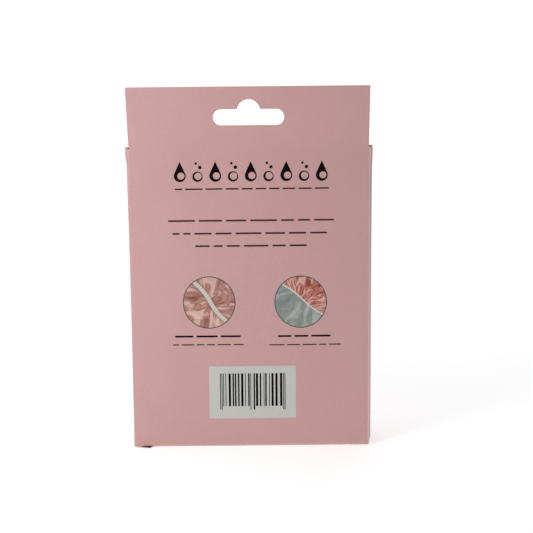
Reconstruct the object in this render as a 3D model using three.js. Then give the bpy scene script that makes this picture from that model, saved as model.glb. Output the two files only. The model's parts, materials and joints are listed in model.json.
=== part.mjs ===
// A boxed shower cap: a hanging folding carton with a tuck lid at each end, and the folded cap inside it.
// Millimetres, +Z up. The origin is the middle of the carton's footprint. The printed back, which rises
// into the header with the hang slot, faces -Y, and the plain front faces +Y.
import * as THREE from 'three';
import { mergeVertices } from 'three/addons/utils/BufferGeometryUtils.js';

// Carton, outside sizes
const cartonWidth = 110;
const cartonDepth = 30;
const cartonHeight = 140;
const board = 0.45; // thickness of the paperboard
const scoreGap = 0.3; // clear line left between two panels where the board folds

// Header, which carries the hang slot above the lid
const headerHeight = 25;
const headerInset = 0.6; // the header is cut in from the fold on each side

// How the board of a filled carton gives: the header leans out, and the side walls swell between their folds
const headerLean = 7.5; // degrees, from the lid's height up
const leftSwellLow = 0.8; // how far the wall's middle stands out, towards the bottom
const leftSwellHigh = 2.9; // and towards the top
const rightSwellLow = 2.2;
const rightSwellHigh = 3.4;
const swellFade = 1.25; // power by which the swell falls towards the folds
const creaseHold = 11; // height over which a flap's straight crease draws the swell in

// Hang slot: a round-ended slot with an arch for the hook in the middle
const slotWidth = 32;
const slotHeight = 7;
const slotBelowTop = 13.35; // header's top edge to the slot's centre line
const hookRadius = 5.2;
const hookRise = 2.55; // slot's centre line to the centre of the arch

// Tuck lids and their tongues
const lidInset = 0.5; // lid's side edge to the side panel's face
const tuckGap = 1.4; // tongue to the wall that it slides behind
const tongueLength = 12;
const tongueInset = 1.2; // tongue's shoulder to the side panel's face
const tongueShoulder = 4; // straight stretch below the crease, above the round corner

// Dust flaps, folded in from the side panels under the lids
const dustLength = 28;
const dustLidClearance = 1; // flap's edge to the wall that carries the lid
const dustTuckClearance = 2.2; // flap's edge to the tucked tongue
const dustLidTaper = 0.34; // edge drawn in, per millimetre of flap, on the lid's side
const dustTuckTaper = 0.24; // the same on the tongue's side
const dustCorner = 2.5; // radius of the flap's free corners

// Glue flap that closes the sleeve behind the back panel
const glueFlapWidth = 13;
const glueFlapEndSlope = 4; // rise of the slanted ends
const glueFlapClearance = 3; // flap's ends to the tongue above and the dust flap below

// Folded cap: three leaves laid to and fro, with the mouth up
const capHeight = 112; // from the folded crown to the seam at the mouth
const capSideRoom = 5; // cap to a side panel
const capFaceRoom = 0.8; // cap to a tucked tongue
const capFloorGap = 0.3; // crown to the dust flaps that it stands on
const leafGap = 0.6; // between neighbouring leaves
const shellWall = 0.8;
const liningWall = 0.5;
const plyGap = 0.3; // between the shell, the lining and the elastic
const crownRound = 5; // height over which the crown's fold is rounded
const crownDraw = 1.6; // how far the rounding draws the crown's edge in
const mouthDraw = 4; // how much shorter the leaves are where the elastic gathers them
const gatherHeight = 26; // height over which the gathers draw in

// Elastic band sewn inside the mouth
const elasticWidth = 8;
const elasticThickness = 0.7;
const elasticBelowSeam = 1.5;

// Frill that stands above the elastic
const frillHeight = 10;
const frillWall = 0.7;
const frillWaves = 20; // ripples along one side of the frill
const frillRipple = 0.7; // how far a ripple swings to each side
const pointsPerWave = 6;

// Facets
const arcSteps = 8;
const swellStrips = 6; // across a swollen wall
const swellRows = 12; // and up it
const turnSteps = 6;
const endSteps = 4;
const gatherRings = 4;

// Finishes
const pinkBoard = new THREE.MeshStandardMaterial({ color: 0xcfa3a3, roughness: 0.62, metalness: 0 });
const coralSatin = new THREE.MeshStandardMaterial({ color: 0xdf9c92, roughness: 0.45, metalness: 0 });
const clearLining = new THREE.MeshStandardMaterial({ color: 0xdfe3e1, roughness: 0.5, metalness: 0 });
const whiteElastic = new THREE.MeshStandardMaterial({ color: 0xf1efec, roughness: 0.85, metalness: 0 });

// Places that several pieces share
const halfWidth = cartonWidth / 2;
const halfDepth = cartonDepth / 2;
const wallEnd = board + scoreGap; // a hinge wall stops this far inside the lid's outer face
const dustPlane = 2 * board + scoreGap; // the dust flap's inner face, from the lid's outer face
const sideEnd = dustPlane + scoreGap; // a side panel stops this far inside the lid's outer face
const sideHalfDepth = halfDepth - board - scoreGap; // a side panel's edges, from the middle of the carton
const tongueFace = halfDepth - board - tuckGap; // tongue's outer face, from the middle of the carton

const part = new THREE.Group();

function addMesh(parent, name, geometry, material) {
  const mesh = new THREE.Mesh(geometry, material);
  mesh.name = name;
  parent.add(mesh);
  return mesh;
}

// A sheet of board cut to an outline, lying flat with its thickness upwards.
function sheet(outline) {
  return new THREE.ExtrudeGeometry(outline, { depth: board, bevelEnabled: false, curveSegments: arcSteps });
}

// A sheet stood up across the carton: the outline's x and y become X and Z, and the outer face is at y.
function standAcross(mesh, y, facesBack) {
  mesh.rotation.x = Math.PI / 2;
  mesh.position.y = facesBack ? y + board : y;
  return mesh;
}

// A mesh from shared points and the triangles between them.
function facetedMesh(points, faces) {
  const geometry = new THREE.BufferGeometry().setFromPoints(points);
  geometry.setIndex(faces);
  geometry.computeVertexNormals();
  return geometry;
}

// A bent sheet of board. outerAt puts each point of a flat pattern on the outer face, the inner face is the
// same moved by `thickness`, and the pattern's cut edges join the two.
function bentSheet(pattern, outerAt, thickness) {
  pattern.deleteAttribute('normal');
  pattern.deleteAttribute('uv');
  const flat = mergeVertices(pattern);
  const at = flat.attributes.position;
  const outer = Array.from({ length: at.count }, (_, i) => outerAt(at.getX(i), at.getY(i)));
  const inner = outer.map((point) => point.clone().add(thickness));
  const count = outer.length;
  const faces = [];
  const sides = new Set();
  for (let k = 0; k < flat.index.count; k += 3) {
    const [a, b, c] = [0, 1, 2].map((corner) => flat.index.getX(k + corner));
    faces.push(a, b, c, count + c, count + b, count + a);
    for (const side of [`${a} ${b}`, `${b} ${c}`, `${c} ${a}`]) sides.add(side);
  }
  for (const side of sides) {
    const [from, to] = side.split(' ').map(Number);
    if (sides.has(`${to} ${from}`)) continue;
    faces.push(to, from, count + from, to, count + from, count + to);
  }
  return facetedMesh([...outer, ...inner], faces);
}

function rectangle(left, bottom, right, top) {
  const outline = new THREE.Shape();
  outline.moveTo(left, bottom);
  outline.lineTo(right, bottom);
  outline.lineTo(right, top);
  outline.lineTo(left, top);
  outline.closePath();
  return outline;
}

// The hang slot: two round ends, and an arch whose circle cuts the slot's upper edge.
function hangSlot(centreHeight) {
  const endRadius = slotHeight / 2;
  const endCentre = slotWidth / 2 - endRadius;
  const archStart = Math.asin((endRadius - hookRise) / hookRadius);
  const slot = new THREE.Path();
  slot.moveTo(-endCentre, centreHeight - endRadius);
  slot.lineTo(endCentre, centreHeight - endRadius);
  slot.absarc(endCentre, centreHeight, endRadius, -Math.PI / 2, Math.PI / 2, false);
  slot.absarc(0, centreHeight + hookRise, hookRadius, archStart, Math.PI - archStart, false);
  slot.absarc(-endCentre, centreHeight, endRadius, Math.PI / 2, 1.5 * Math.PI, false);
  return slot;
}

// Back panel with its header: one sheet, stepped in at the carton's top edge and bent along the lid's height.
function backPanel() {
  const headerSide = halfWidth - headerInset;
  const headerTop = cartonHeight + headerHeight;
  const step = cartonHeight - sideEnd;
  const wall = new THREE.Shape();
  wall.moveTo(-halfWidth, wallEnd);
  wall.lineTo(halfWidth, wallEnd);
  wall.lineTo(halfWidth, step);
  wall.lineTo(headerSide, step);
  wall.lineTo(headerSide, cartonHeight);
  wall.lineTo(-headerSide, cartonHeight);
  wall.lineTo(-headerSide, step);
  wall.lineTo(-halfWidth, step);
  wall.closePath();
  const header = rectangle(-headerSide, cartonHeight, headerSide, headerTop);
  header.holes.push(hangSlot(headerTop - slotBelowTop));
  const slope = Math.tan(THREE.MathUtils.degToRad(headerLean));
  const outerAt = (x, z) => new THREE.Vector3(x, -halfDepth - slope * Math.max(0, z - cartonHeight), z);
  const flat = new THREE.ShapeGeometry([wall, header], arcSteps);
  return bentSheet(flat, outerAt, new THREE.Vector3(0, board, 0));
}

// Side panel: straight along its folds and creases, and swollen between them. way is -1 on the left and 1 on
// the right.
function sidePanel(way, swellLow, swellHigh) {
  const panelHeight = cartonHeight - 2 * sideEnd;
  const flat = new THREE.PlaneGeometry(2 * sideHalfDepth, panelHeight, swellStrips, swellRows);
  const outerAt = (across, up) => {
    const rise = THREE.MathUtils.smoothstep(up, -cartonHeight / 2, cartonHeight / 2);
    const fade = Math.max(0, 1 - (across / sideHalfDepth) ** 2) ** swellFade;
    const hold = Math.min(1, (panelHeight / 2 - Math.abs(up)) / creaseHold);
    const swell = THREE.MathUtils.lerp(swellLow, swellHigh, rise) * fade * hold;
    return new THREE.Vector3(way * (halfWidth + swell), way * across, cartonHeight / 2 + up);
  };
  return bentSheet(flat, outerAt, new THREE.Vector3(-way * board, 0, 0));
}

// Glue flap: a strip with slanted ends, so that the corners stay out of the tuck ends.
function glueFlapOutline() {
  const foldEdge = halfWidth - board - scoreGap;
  const freeEdge = foldEdge - glueFlapWidth;
  const low = sideEnd + glueFlapClearance;
  const high = cartonHeight - tongueLength - glueFlapClearance;
  const outline = new THREE.Shape();
  outline.moveTo(foldEdge, low);
  outline.lineTo(foldEdge, high);
  outline.lineTo(freeEdge, high - glueFlapEndSlope);
  outline.lineTo(freeEdge, low + glueFlapEndSlope);
  outline.closePath();
  return outline;
}

// Sleeve: the four walls and the glue flap, all from one folded blank.
function addSleeve() {
  addMesh(part, 'back_panel', backPanel(), pinkBoard);
  const front = rectangle(-halfWidth, 0, halfWidth, cartonHeight - wallEnd);
  standAcross(addMesh(part, 'front_panel', sheet(front), pinkBoard), halfDepth, false);
  addMesh(part, 'left_side_panel', sidePanel(-1, leftSwellLow, leftSwellHigh), pinkBoard);
  addMesh(part, 'right_side_panel', sidePanel(1, rightSwellLow, rightSwellHigh), pinkBoard);
  const glueFlap = addMesh(part, 'glue_flap', sheet(glueFlapOutline()), pinkBoard);
  standAcross(glueFlap, -halfDepth + board + scoreGap, true);
}

// Tongue: straight shoulders under the crease, then sides that run into large round corners.
function tongueOutline() {
  const side = halfWidth - tongueInset;
  const radius = tongueLength - tongueShoulder;
  const outline = new THREE.Shape();
  outline.moveTo(-side, -wallEnd);
  outline.absarc(radius - side, -tongueShoulder, radius, Math.PI, 1.5 * Math.PI, false);
  outline.absarc(side - radius, -tongueShoulder, radius, -Math.PI / 2, 0, false);
  outline.lineTo(side, -wallEnd);
  outline.closePath();
  return outline;
}

// Dust flap, for the side at +X: wide at the fold, drawn in towards round free corners.
function dustOutline() {
  const lidEdge = halfDepth - wallEnd - dustLidClearance;
  const tuckEdge = -tongueFace + board + dustTuckClearance;
  const freeEnd = halfWidth - dustLength;
  const lidCorner = lidEdge - dustLidTaper * (dustLength - dustCorner);
  const tuckCorner = tuckEdge + dustTuckTaper * (dustLength - dustCorner);
  const lidRound = lidCorner - dustLidTaper * dustCorner;
  const tuckRound = tuckCorner + dustTuckTaper * dustCorner;
  const outline = new THREE.Shape();
  outline.moveTo(halfWidth, lidEdge);
  outline.lineTo(freeEnd + dustCorner, lidCorner);
  outline.quadraticCurveTo(freeEnd, lidRound, freeEnd, lidCorner - dustCorner);
  outline.lineTo(freeEnd, tuckCorner + dustCorner);
  outline.quadraticCurveTo(freeEnd, tuckRound, freeEnd + dustCorner, tuckCorner);
  outline.lineTo(halfWidth, tuckEdge);
  outline.closePath();
  return outline;
}

function mirrored(outline) {
  const points = outline.getPoints(arcSteps).map((point) => new THREE.Vector2(-point.x, point.y));
  return new THREE.Shape(points);
}

// One tuck end, drawn with the lid's outer face at height 0 and the lid's hinge at +Y.
function tuckEnd(end) {
  const group = new THREE.Group();
  const lidSide = halfWidth - lidInset;
  const lidOutline = rectangle(-lidSide, -tongueFace, lidSide, halfDepth);
  const lid = addMesh(group, `${end}_lid`, sheet(lidOutline), pinkBoard);
  lid.position.z = -board;
  standAcross(addMesh(group, `${end}_tongue`, sheet(tongueOutline()), pinkBoard), -tongueFace, true);
  for (const [side, outline] of [['left', mirrored(dustOutline())], ['right', dustOutline()]]) {
    const flap = addMesh(group, `${end}_${side}_dust_flap`, sheet(outline), pinkBoard);
    flap.position.z = -dustPlane;
  }
  part.add(group);
  return group;
}

// Top lid on the front panel; the bottom end is the same turned over, so its lid is on the back panel.
function addTuckEnds() {
  tuckEnd('top').position.z = cartonHeight;
  tuckEnd('bottom').rotation.x = Math.PI;
}

// Room for the folded cap, and the leaves that fill it
const capFloor = dustPlane + capFloorGap;
const capRoomDepth = 2 * (tongueFace - board - capFaceRoom);
const leafPitch = capRoomDepth / 3;
const leafHalf = (leafPitch - leafGap) / 2;
const leafReach = halfWidth - board - capSideRoom - leafPitch / 2 - leafHalf;
const seamHeight = capFloor + capHeight;
const liningOut = leafHalf - shellWall - plyGap;
const elasticOut = liningOut - liningWall - plyGap;

// Leaves get shorter towards the mouth, where the elastic gathers them.
function reachAt(height) {
  const rise = THREE.MathUtils.smoothstep(height, seamHeight - gatherHeight, seamHeight);
  return leafReach - mouthDraw * rise;
}

// Middle line of the fold: leaf, half-turn, leaf, half-turn, leaf. Each point keeps its direction of travel.
function foldLine(reach, stepsPerLeaf, stepsPerTurn) {
  const line = [];
  const radius = leafPitch / 2;
  const addLeaf = (y, way) => {
    for (let i = 0; i <= stepsPerLeaf; i++) {
      const x = way * reach * ((2 * i) / stepsPerLeaf - 1);
      line.push({ at: new THREE.Vector2(x, y), along: new THREE.Vector2(way, 0) });
    }
  };
  const addTurn = (x, y, way) => {
    for (let i = 1; i < stepsPerTurn; i++) {
      const angle = way * ((Math.PI * i) / stepsPerTurn) - Math.PI / 2;
      const spoke = new THREE.Vector2(Math.cos(angle), Math.sin(angle));
      const at = new THREE.Vector2(x, y).addScaledVector(spoke, radius);
      line.push({ at, along: new THREE.Vector2(-spoke.y * way, spoke.x * way) });
    }
  };
  addLeaf(-leafPitch, 1);
  addTurn(reach, -radius, 1);
  addLeaf(0, -1);
  addTurn(-reach, radius, -1);
  addLeaf(leafPitch, 1);
  return line;
}

// Closed outline at a distance from the fold's middle line, with round ends. ripple(share) is added on
// both sides with the same sign, so that a wall made of two such outlines keeps its thickness.
function foldRing(line, offset, height, ripple = () => 0) {
  const ring = [];
  const last = line.length - 1;
  const push = ({ at, along }, angle, distance) => {
    const normal = new THREE.Vector2(-along.y, along.x);
    const place = at.clone();
    place.addScaledVector(along, distance * Math.cos(angle));
    place.addScaledVector(normal, distance * Math.sin(angle));
    ring.push(new THREE.Vector3(place.x, place.y, height));
  };
  for (let i = 0; i <= last; i++) push(line[i], -Math.PI / 2, offset + ripple(i / last));
  for (let k = 1; k < endSteps; k++) push(line[last], -Math.PI / 2 + (Math.PI * k) / endSteps, offset);
  for (let i = last; i >= 0; i--) push(line[i], Math.PI / 2, offset + ripple(i / last));
  for (let k = 1; k < endSteps; k++) push(line[0], Math.PI / 2 + (Math.PI * k) / endSteps, offset);
  return ring;
}

// Skin over a stack of rings, each joined to the next. A band joins its last ring to its first; a pouch
// closes its first ring from below and its last ring from above.
function skin(rings, pouch) {
  const count = rings[0].length;
  const faces = [];
  const quad = (a, b, c, d) => faces.push(a, b, c, a, c, d);
  const bands = pouch ? rings.length - 1 : rings.length;
  for (let k = 0; k < bands; k++) {
    const low = k * count;
    const high = ((k + 1) % rings.length) * count;
    for (let j = 0; j < count; j++) {
      const next = (j + 1) % count;
      quad(low + j, low + next, high + next, high + j);
    }
  }
  if (pouch) {
    const side = count / 2 - endSteps + 1; // points along one side of the fold
    const across = (i) => count - endSteps - i; // the point over the fold from point i
    const floorOf = (start, up) => {
      const add = (a, b, c) => faces.push(start + a, start + (up ? b : c), start + (up ? c : b));
      for (let i = 0; i + 1 < side; i++) {
        add(i, i + 1, across(i + 1));
        add(i, across(i + 1), across(i));
      }
      for (let k = side; k < side + endSteps - 1; k++) add(side - 1, k, k + 1);
      for (let k = across(0); k + 1 < count; k++) add(0, k, k + 1);
    };
    floorOf(0, false);
    floorOf((rings.length - 1) * count, true);
  }
  return facetedMesh(rings.flat(), faces);
}

// Heights at which a wall that ends at the mouth has a ring: the rounded crown, then the gathers.
function wallHeights(floor, top) {
  const heights = [floor, floor + crownRound / 3, floor + crownRound];
  for (let i = 0; i < gatherRings; i++) heights.push(top - gatherHeight * (1 - i / gatherRings));
  heights.push(top);
  return heights;
}

// Ring of the pouch at a height: the crown is drawn in over its rounding.
function pouchRing(offset, height, floor) {
  const rise = Math.min(1, (height - floor) / crownRound);
  const draw = crownDraw * (1 - Math.sqrt(1 - (1 - rise) ** 2));
  const line = foldLine(reachAt(height) - draw, 1, turnSteps);
  return foldRing(line, offset - Math.min(draw, offset / 2), height);
}

// A pouch of one cloth: outer wall up to the mouth, inner wall down to the crown.
function pouch(outside, wall, floor, top) {
  const inside = outside - wall;
  const outer = wallHeights(floor, top).map((height) => pouchRing(outside, height, floor));
  const inner = wallHeights(floor + wall, top).map((height) => pouchRing(inside, height, floor + wall));
  return skin([...outer, ...inner.reverse()], true);
}

// A flat band that follows the fold round the mouth.
function mouthBand(outside, wall, low, high) {
  const ring = (offset, height) => foldRing(foldLine(reachAt(height), 1, turnSteps), offset, height);
  const inside = outside - wall;
  return skin([ring(outside, low), ring(outside, high), ring(inside, high), ring(inside, low)], false);
}

// The frill ripples more and more towards its free edge.
function frill(low, high) {
  const reach = reachAt(seamHeight);
  const pointsPerSide = frillWaves * pointsPerWave;
  const length = 3 * 2 * reach + leafPitch * Math.PI;
  const stepsPerTurn = Math.max(2, Math.round((pointsPerSide * leafPitch * Math.PI) / 2 / length));
  const stepsPerLeaf = Math.round((pointsPerSide * 2 * reach) / length);
  const line = foldLine(reach, stepsPerLeaf, stepsPerTurn);
  const outside = leafHalf - frillRipple;
  const ring = (offset, height) => {
    const swing = frillRipple * ((height - low) / (high - low));
    return foldRing(line, offset, height, (share) => swing * Math.sin(2 * Math.PI * frillWaves * share));
  };
  const middle = (low + high) / 2;
  const inside = outside - frillWall;
  const outer = [low, middle, high].map((height) => ring(outside, height));
  const inner = [high, middle, low].map((height) => ring(inside, height));
  return skin([...outer, ...inner], false);
}

// Folded cap: satin shell, waterproof lining inside it, elastic inside the mouth, and the frill on top.
function addCap() {
  const elasticTop = seamHeight - elasticBelowSeam;
  const shell = pouch(leafHalf, shellWall, capFloor, seamHeight);
  const lining = pouch(liningOut, liningWall, capFloor + shellWall + plyGap, seamHeight);
  const elastic = mouthBand(elasticOut, elasticThickness, elasticTop - elasticWidth, elasticTop);
  addMesh(part, 'cap_outer_shell', shell, coralSatin);
  addMesh(part, 'cap_lining', lining, clearLining);
  addMesh(part, 'cap_elastic_band', elastic, whiteElastic);
  addMesh(part, 'cap_frill', frill(seamHeight + plyGap, seamHeight + plyGap + frillHeight), coralSatin);
}

addSleeve();
addTuckEnds();
addCap();

export default part;
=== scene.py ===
# %% [markdown]
# # A boxed shower cap
# The object is a folding carton that hangs on a display hook, with a folded shower cap inside it. The
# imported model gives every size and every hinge, so it is loaded first and never moved. All that follows
# dresses it: folded board, ink, cloth, thread, light and a camera.

# %% Load the fixed frame
import json
import math

import bpy
import numpy as np
from mathutils import Matrix, Vector
from mathutils.geometry import delaunay_2d_cdt

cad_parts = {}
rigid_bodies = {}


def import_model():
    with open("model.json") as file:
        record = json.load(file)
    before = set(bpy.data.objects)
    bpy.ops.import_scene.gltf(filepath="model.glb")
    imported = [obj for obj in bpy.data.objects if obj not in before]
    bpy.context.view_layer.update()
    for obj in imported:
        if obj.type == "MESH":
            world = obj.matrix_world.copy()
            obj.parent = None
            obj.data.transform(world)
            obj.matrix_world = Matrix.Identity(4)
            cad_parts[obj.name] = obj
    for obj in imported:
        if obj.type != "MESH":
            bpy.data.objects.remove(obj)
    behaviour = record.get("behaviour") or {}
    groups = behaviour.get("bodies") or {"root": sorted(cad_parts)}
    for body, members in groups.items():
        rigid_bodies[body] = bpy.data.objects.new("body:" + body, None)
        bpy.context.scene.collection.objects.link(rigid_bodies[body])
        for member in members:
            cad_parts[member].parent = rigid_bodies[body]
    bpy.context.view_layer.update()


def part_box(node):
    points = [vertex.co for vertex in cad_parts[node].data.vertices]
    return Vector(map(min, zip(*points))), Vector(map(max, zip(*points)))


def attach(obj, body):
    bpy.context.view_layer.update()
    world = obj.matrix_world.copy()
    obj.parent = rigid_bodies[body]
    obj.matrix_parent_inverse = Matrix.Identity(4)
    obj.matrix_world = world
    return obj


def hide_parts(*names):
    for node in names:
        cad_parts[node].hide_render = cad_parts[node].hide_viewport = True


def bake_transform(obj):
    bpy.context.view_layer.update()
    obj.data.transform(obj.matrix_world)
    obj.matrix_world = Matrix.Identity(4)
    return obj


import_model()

# %% [markdown]
# ## Sizes
# The carton's sizes are read from the frame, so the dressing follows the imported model. Lengths below are
# millimetres, because board, thread and ink are easier to think about that way. One function at the end of
# every piece turns millimetres into Blender's metres.

# %% Sizes from the frame, in millimetres
METRE = 1000.0


def node_box(node):
    """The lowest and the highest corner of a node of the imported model."""
    low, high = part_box(node)
    return np.array(low) * METRE, np.array(high) * METRE


front_low, front_high = node_box("front_panel")
board = front_high[1] - front_low[1]
half_width = front_high[0]
half_depth = front_high[1]
header_top = node_box("back_panel")[1][2]
height = node_box("top_lid")[1][2]
tongue_low, tongue_high = node_box("top_tongue")
tongue_face = -tongue_low[1]
tongue_length = height - tongue_low[2]
tongue_half_width = tongue_high[0]
dust_low, dust_high = node_box("top_right_dust_flap")
glue_low, glue_high = node_box("glue_flap")
print(f"carton {2 * half_width:.1f} x {2 * half_depth:.1f} x {height:.1f} mm, board {board:.2f} mm")

# %% [markdown]
# ## The camera
# The photograph was taken almost square on, a little above the middle, from about a third of a metre. A
# lens is known by its focal length in pixels and by the pixel that its axis meets. Blender wants the same
# facts as a focal length on a 36 mm sensor and as a shift, in parts of the picture's width. The camera could
# be moved by eye instead, but then lens and distance would never agree with the carton's corners.

# %% Camera at the photograph's viewpoint
PHOTO_PIXELS = 533
FOCAL_PIXELS = 750.5
AXIS_PIXEL = (250.0, 268.65)
SENSOR = 36.0
NEAREST = 0.01

camera_target = Vector((0.0, 0.0, 0.082))
camera_distance = 0.359
camera_elevation = math.radians(5.0)
camera_roll = math.radians(0.55)

camera_data = bpy.data.cameras.new("photo_camera")
camera_data.sensor_width = SENSOR
camera_data.lens = SENSOR * FOCAL_PIXELS / PHOTO_PIXELS
camera_data.shift_x = (PHOTO_PIXELS / 2 - AXIS_PIXEL[0]) / PHOTO_PIXELS
camera_data.shift_y = (AXIS_PIXEL[1] - PHOTO_PIXELS / 2) / PHOTO_PIXELS
camera_data.clip_start = NEAREST
camera = bpy.data.objects.new("photo_camera", camera_data)
bpy.context.scene.collection.objects.link(camera)
bpy.context.scene.camera = camera

toward_camera = Vector((0.0, -math.cos(camera_elevation), math.sin(camera_elevation)))
camera.location = camera_target + toward_camera * camera_distance
facing = (-toward_camera).to_track_quat("-Z", "Y")
camera.rotation_mode = "QUATERNION"
camera.rotation_quaternion = facing @ Matrix.Rotation(-camera_roll, 3, "Z").to_quaternion()
print(f"lens {camera_data.lens:.1f} mm at {camera_distance * METRE:.0f} mm")

# %% [markdown]
# ## Small helpers
# A colour is written as the hex value that a colour picker shows, and turned to the linear value that
# shaders want. One function adds a node with its settings and its links, so a material reads as a short
# list of what feeds what. A node can be given where a value is expected: its first output is then linked.

# %% Colour and node helpers


def linear(hex_colour):
    """Linear RGBA from an sRGB hex value."""
    values = [int(hex_colour[i : i + 2], 16) / 255 for i in (1, 3, 5)]
    return (*(v / 12.92 if v <= 0.04045 else ((v + 0.055) / 1.055) ** 2.4 for v in values), 1.0)


def feed(tree, node, inputs):
    """Give a node its inputs: a socket or a node's first output is linked, anything else is a value."""
    for name, value in inputs.items():
        if isinstance(value, bpy.types.Node):
            value = next(output for output in value.outputs if output.enabled)
        if isinstance(value, bpy.types.NodeSocket):
            tree.links.new(value, node.inputs[name])
        else:
            node.inputs[name].default_value = value


def add(tree, kind, inputs=None, stops=(), **settings):
    """A node with its settings, its inputs and any colour stops."""
    node = tree.nodes.new(kind)
    for name, value in settings.items():
        setattr(node, name, value)
    feed(tree, node, inputs or {})
    for index, (position, colour) in enumerate(stops):
        elements = node.color_ramp.elements
        element = elements[index] if index < len(elements) else elements.new(position)
        element.position = position
        element.color = linear(colour)
    return node


def new_material(name, **shader):
    """A material with a Principled shader; what is the same all over is set on its sockets here."""
    material = bpy.data.materials.new(name)
    material.use_nodes = True
    tree = material.node_tree
    bsdf = tree.nodes["Principled BSDF"]
    feed(tree, bsdf, {socket.replace("_", " "): value for socket, value in shader.items()})
    return material, tree, bsdf


print(f"half grey, #808080, is {linear('#808080')[0]:.3f} of white")

# %% [markdown]
# ## Matt laminated carton board
# The carton is solid bleached board, printed dusty pink and covered with a thin matt film. The film gives a
# broad, weak shine and hides the fibres, so only a faint mottle of the print and a very shallow grain show.
# A picture of board could be wrapped round the carton, but nodes stay sharp at any distance and have no
# seams. Along the folds the film is stretched over the score and the pink goes paler. That needs to know
# where the folds are, so every board piece carries a point attribute which says how pale each point goes,
# from 0 to 1. On the fold beside the seam the same paler pink is a painted highlight, a bright line where
# light would catch the fold.

# %% Printed face of the board


def make_printed_board():
    """Matt film over pink print: soft shine, faint mottle, paler where a fold has stretched the film and
    where a highlight is painted on a fold.
    """
    cloud_size, fleck_size, pale_noise_size, grain_depth = 26, 0.9, 2.5, 0.05
    material, tree, bsdf = new_material("matt_laminated_pink_board", Roughness=0.5, IOR=1.48)
    place = add(tree, "ShaderNodeTexCoord").outputs["Object"]
    cloud = add(tree, "ShaderNodeTexNoise", {"Vector": place, "Scale": METRE / cloud_size, "Detail": 3.0})
    fleck = add(tree, "ShaderNodeTexNoise", {"Vector": place, "Scale": METRE / fleck_size, "Detail": 3.0})
    ink_tone = add(tree, "ShaderNodeValToRGB", {"Fac": cloud}, [(0.35, "#c59b9a"), (0.65, "#c79d9c")])
    fleck_tone = add(tree, "ShaderNodeValToRGB", {"Fac": fleck}, [(0.35, "#fcf9f8"), (0.65, "#ffffff")])
    tones = {"Factor": 1.0, "A": ink_tone, "B": fleck_tone}
    inked = add(tree, "ShaderNodeMix", tones, data_type="RGBA", blend_type="MULTIPLY")
    wear_and_highlight = add(tree, "ShaderNodeAttribute", attribute_name="wear_and_highlight").outputs["Fac"]
    pale_noise = add(tree, "ShaderNodeTexNoise", {"Vector": place, "Scale": METRE / pale_noise_size, "Detail": 4.0})
    broken = add(tree, "ShaderNodeMapRange", {"Value": pale_noise, "To Min": 0.5, "To Max": 1.0})
    worn_and_lit = add(tree, "ShaderNodeMath", {0: wear_and_highlight, 1: broken}, operation="MULTIPLY")
    # Paler pink: worn film on the creases, and on the fold beside the seam a painted highlight.
    rubbed_and_lit = {"Factor": worn_and_lit, "A": inked, "B": linear("#f8d6d1")}
    faded_and_lit = add(tree, "ShaderNodeMix", rubbed_and_lit, data_type="RGBA")
    grain = add(tree, "ShaderNodeBump", {"Height": fleck, "Strength": 0.1, "Distance": grain_depth / METRE})
    feed(tree, bsdf, {"Base Color": faded_and_lit, "Normal": grain})
    return material


printed_face = make_printed_board()
print("outside:", printed_face.name)

# %% [markdown]
# ## Bare board
# Inside, the board has no film and no ink. It is dull and warm white, with short fibres that a fingernail
# can feel, so it gets a coarser bump than the print. Where the die has cut through it, the layers of pulp
# show as a cream, fuzzy line. A second point attribute paints dark brown shade on the inside behind a
# sprung slit, where the gap lies in shadow.

# %% Inside and cut edge of the board


def make_board_inside():
    """Uncoated reverse: dull, warm white, with short fibres, and painted dark brown shade behind a sprung
    slit.
    """
    fibre_size, felt_depth = 0.7, 0.08
    material, tree, bsdf = new_material("uncoated_white_board", Roughness=0.85, IOR=1.45)
    place = add(tree, "ShaderNodeTexCoord").outputs["Object"]
    pulp = {"Vector": place, "Scale": METRE / fibre_size, "Detail": 5.0, "Roughness": 0.6}
    fibre = add(tree, "ShaderNodeTexNoise", pulp)
    tone = add(tree, "ShaderNodeValToRGB", {"Fac": fibre}, [(0.3, "#e0dad0"), (0.7, "#ebe5dc")])
    # Painted shade: dark brown on the inside where shadow falls in the gap behind the sprung slit.
    slit_shade = add(tree, "ShaderNodeAttribute", attribute_name="slit_shade").outputs["Fac"]
    slit_shaded = add(tree, "ShaderNodeMix", {"Factor": slit_shade, "A": tone, "B": linear("#5a3029")}, data_type="RGBA")
    felt = add(tree, "ShaderNodeBump", {"Height": fibre, "Strength": 0.25, "Distance": felt_depth / METRE})
    feed(tree, bsdf, {"Base Color": slit_shaded, "Normal": felt})
    return material


def make_raw_edge():
    """Cut edge: cream, fuzzy layers of pulp."""
    layer_size = 0.5
    material, tree, bsdf = new_material("die_cut_board_edge", Roughness=0.9, IOR=1.45)
    place = add(tree, "ShaderNodeTexCoord").outputs["Object"]
    fibre = add(tree, "ShaderNodeTexNoise", {"Vector": place, "Scale": METRE / layer_size, "Detail": 4.0})
    tone = add(tree, "ShaderNodeValToRGB", {"Fac": fibre}, [(0.3, "#d2b6a0"), (0.7, "#ecd6c5")])
    feed(tree, bsdf, {"Base Color": tone})
    return material


board_materials = [printed_face, make_board_inside(), make_raw_edge()]
print("board:", ", ".join(material.name for material in board_materials))

# %% [markdown]
# ## Board as a folded sheet
# A carton is one flat blank, die-cut and folded, and that is how it is made here. A box with bevelled edges
# would be quicker, but it has no cut edges, no white inside and no give in its walls. A piece starts as a
# flat outline filled with triangles, with extra points on grid lines that crowd together where a fold will
# be. The outline gets a point wherever a grid line crosses it, or long thin triangles would cut across the
# fold and leave lumps in it.

# %% Inside or outside


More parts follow.
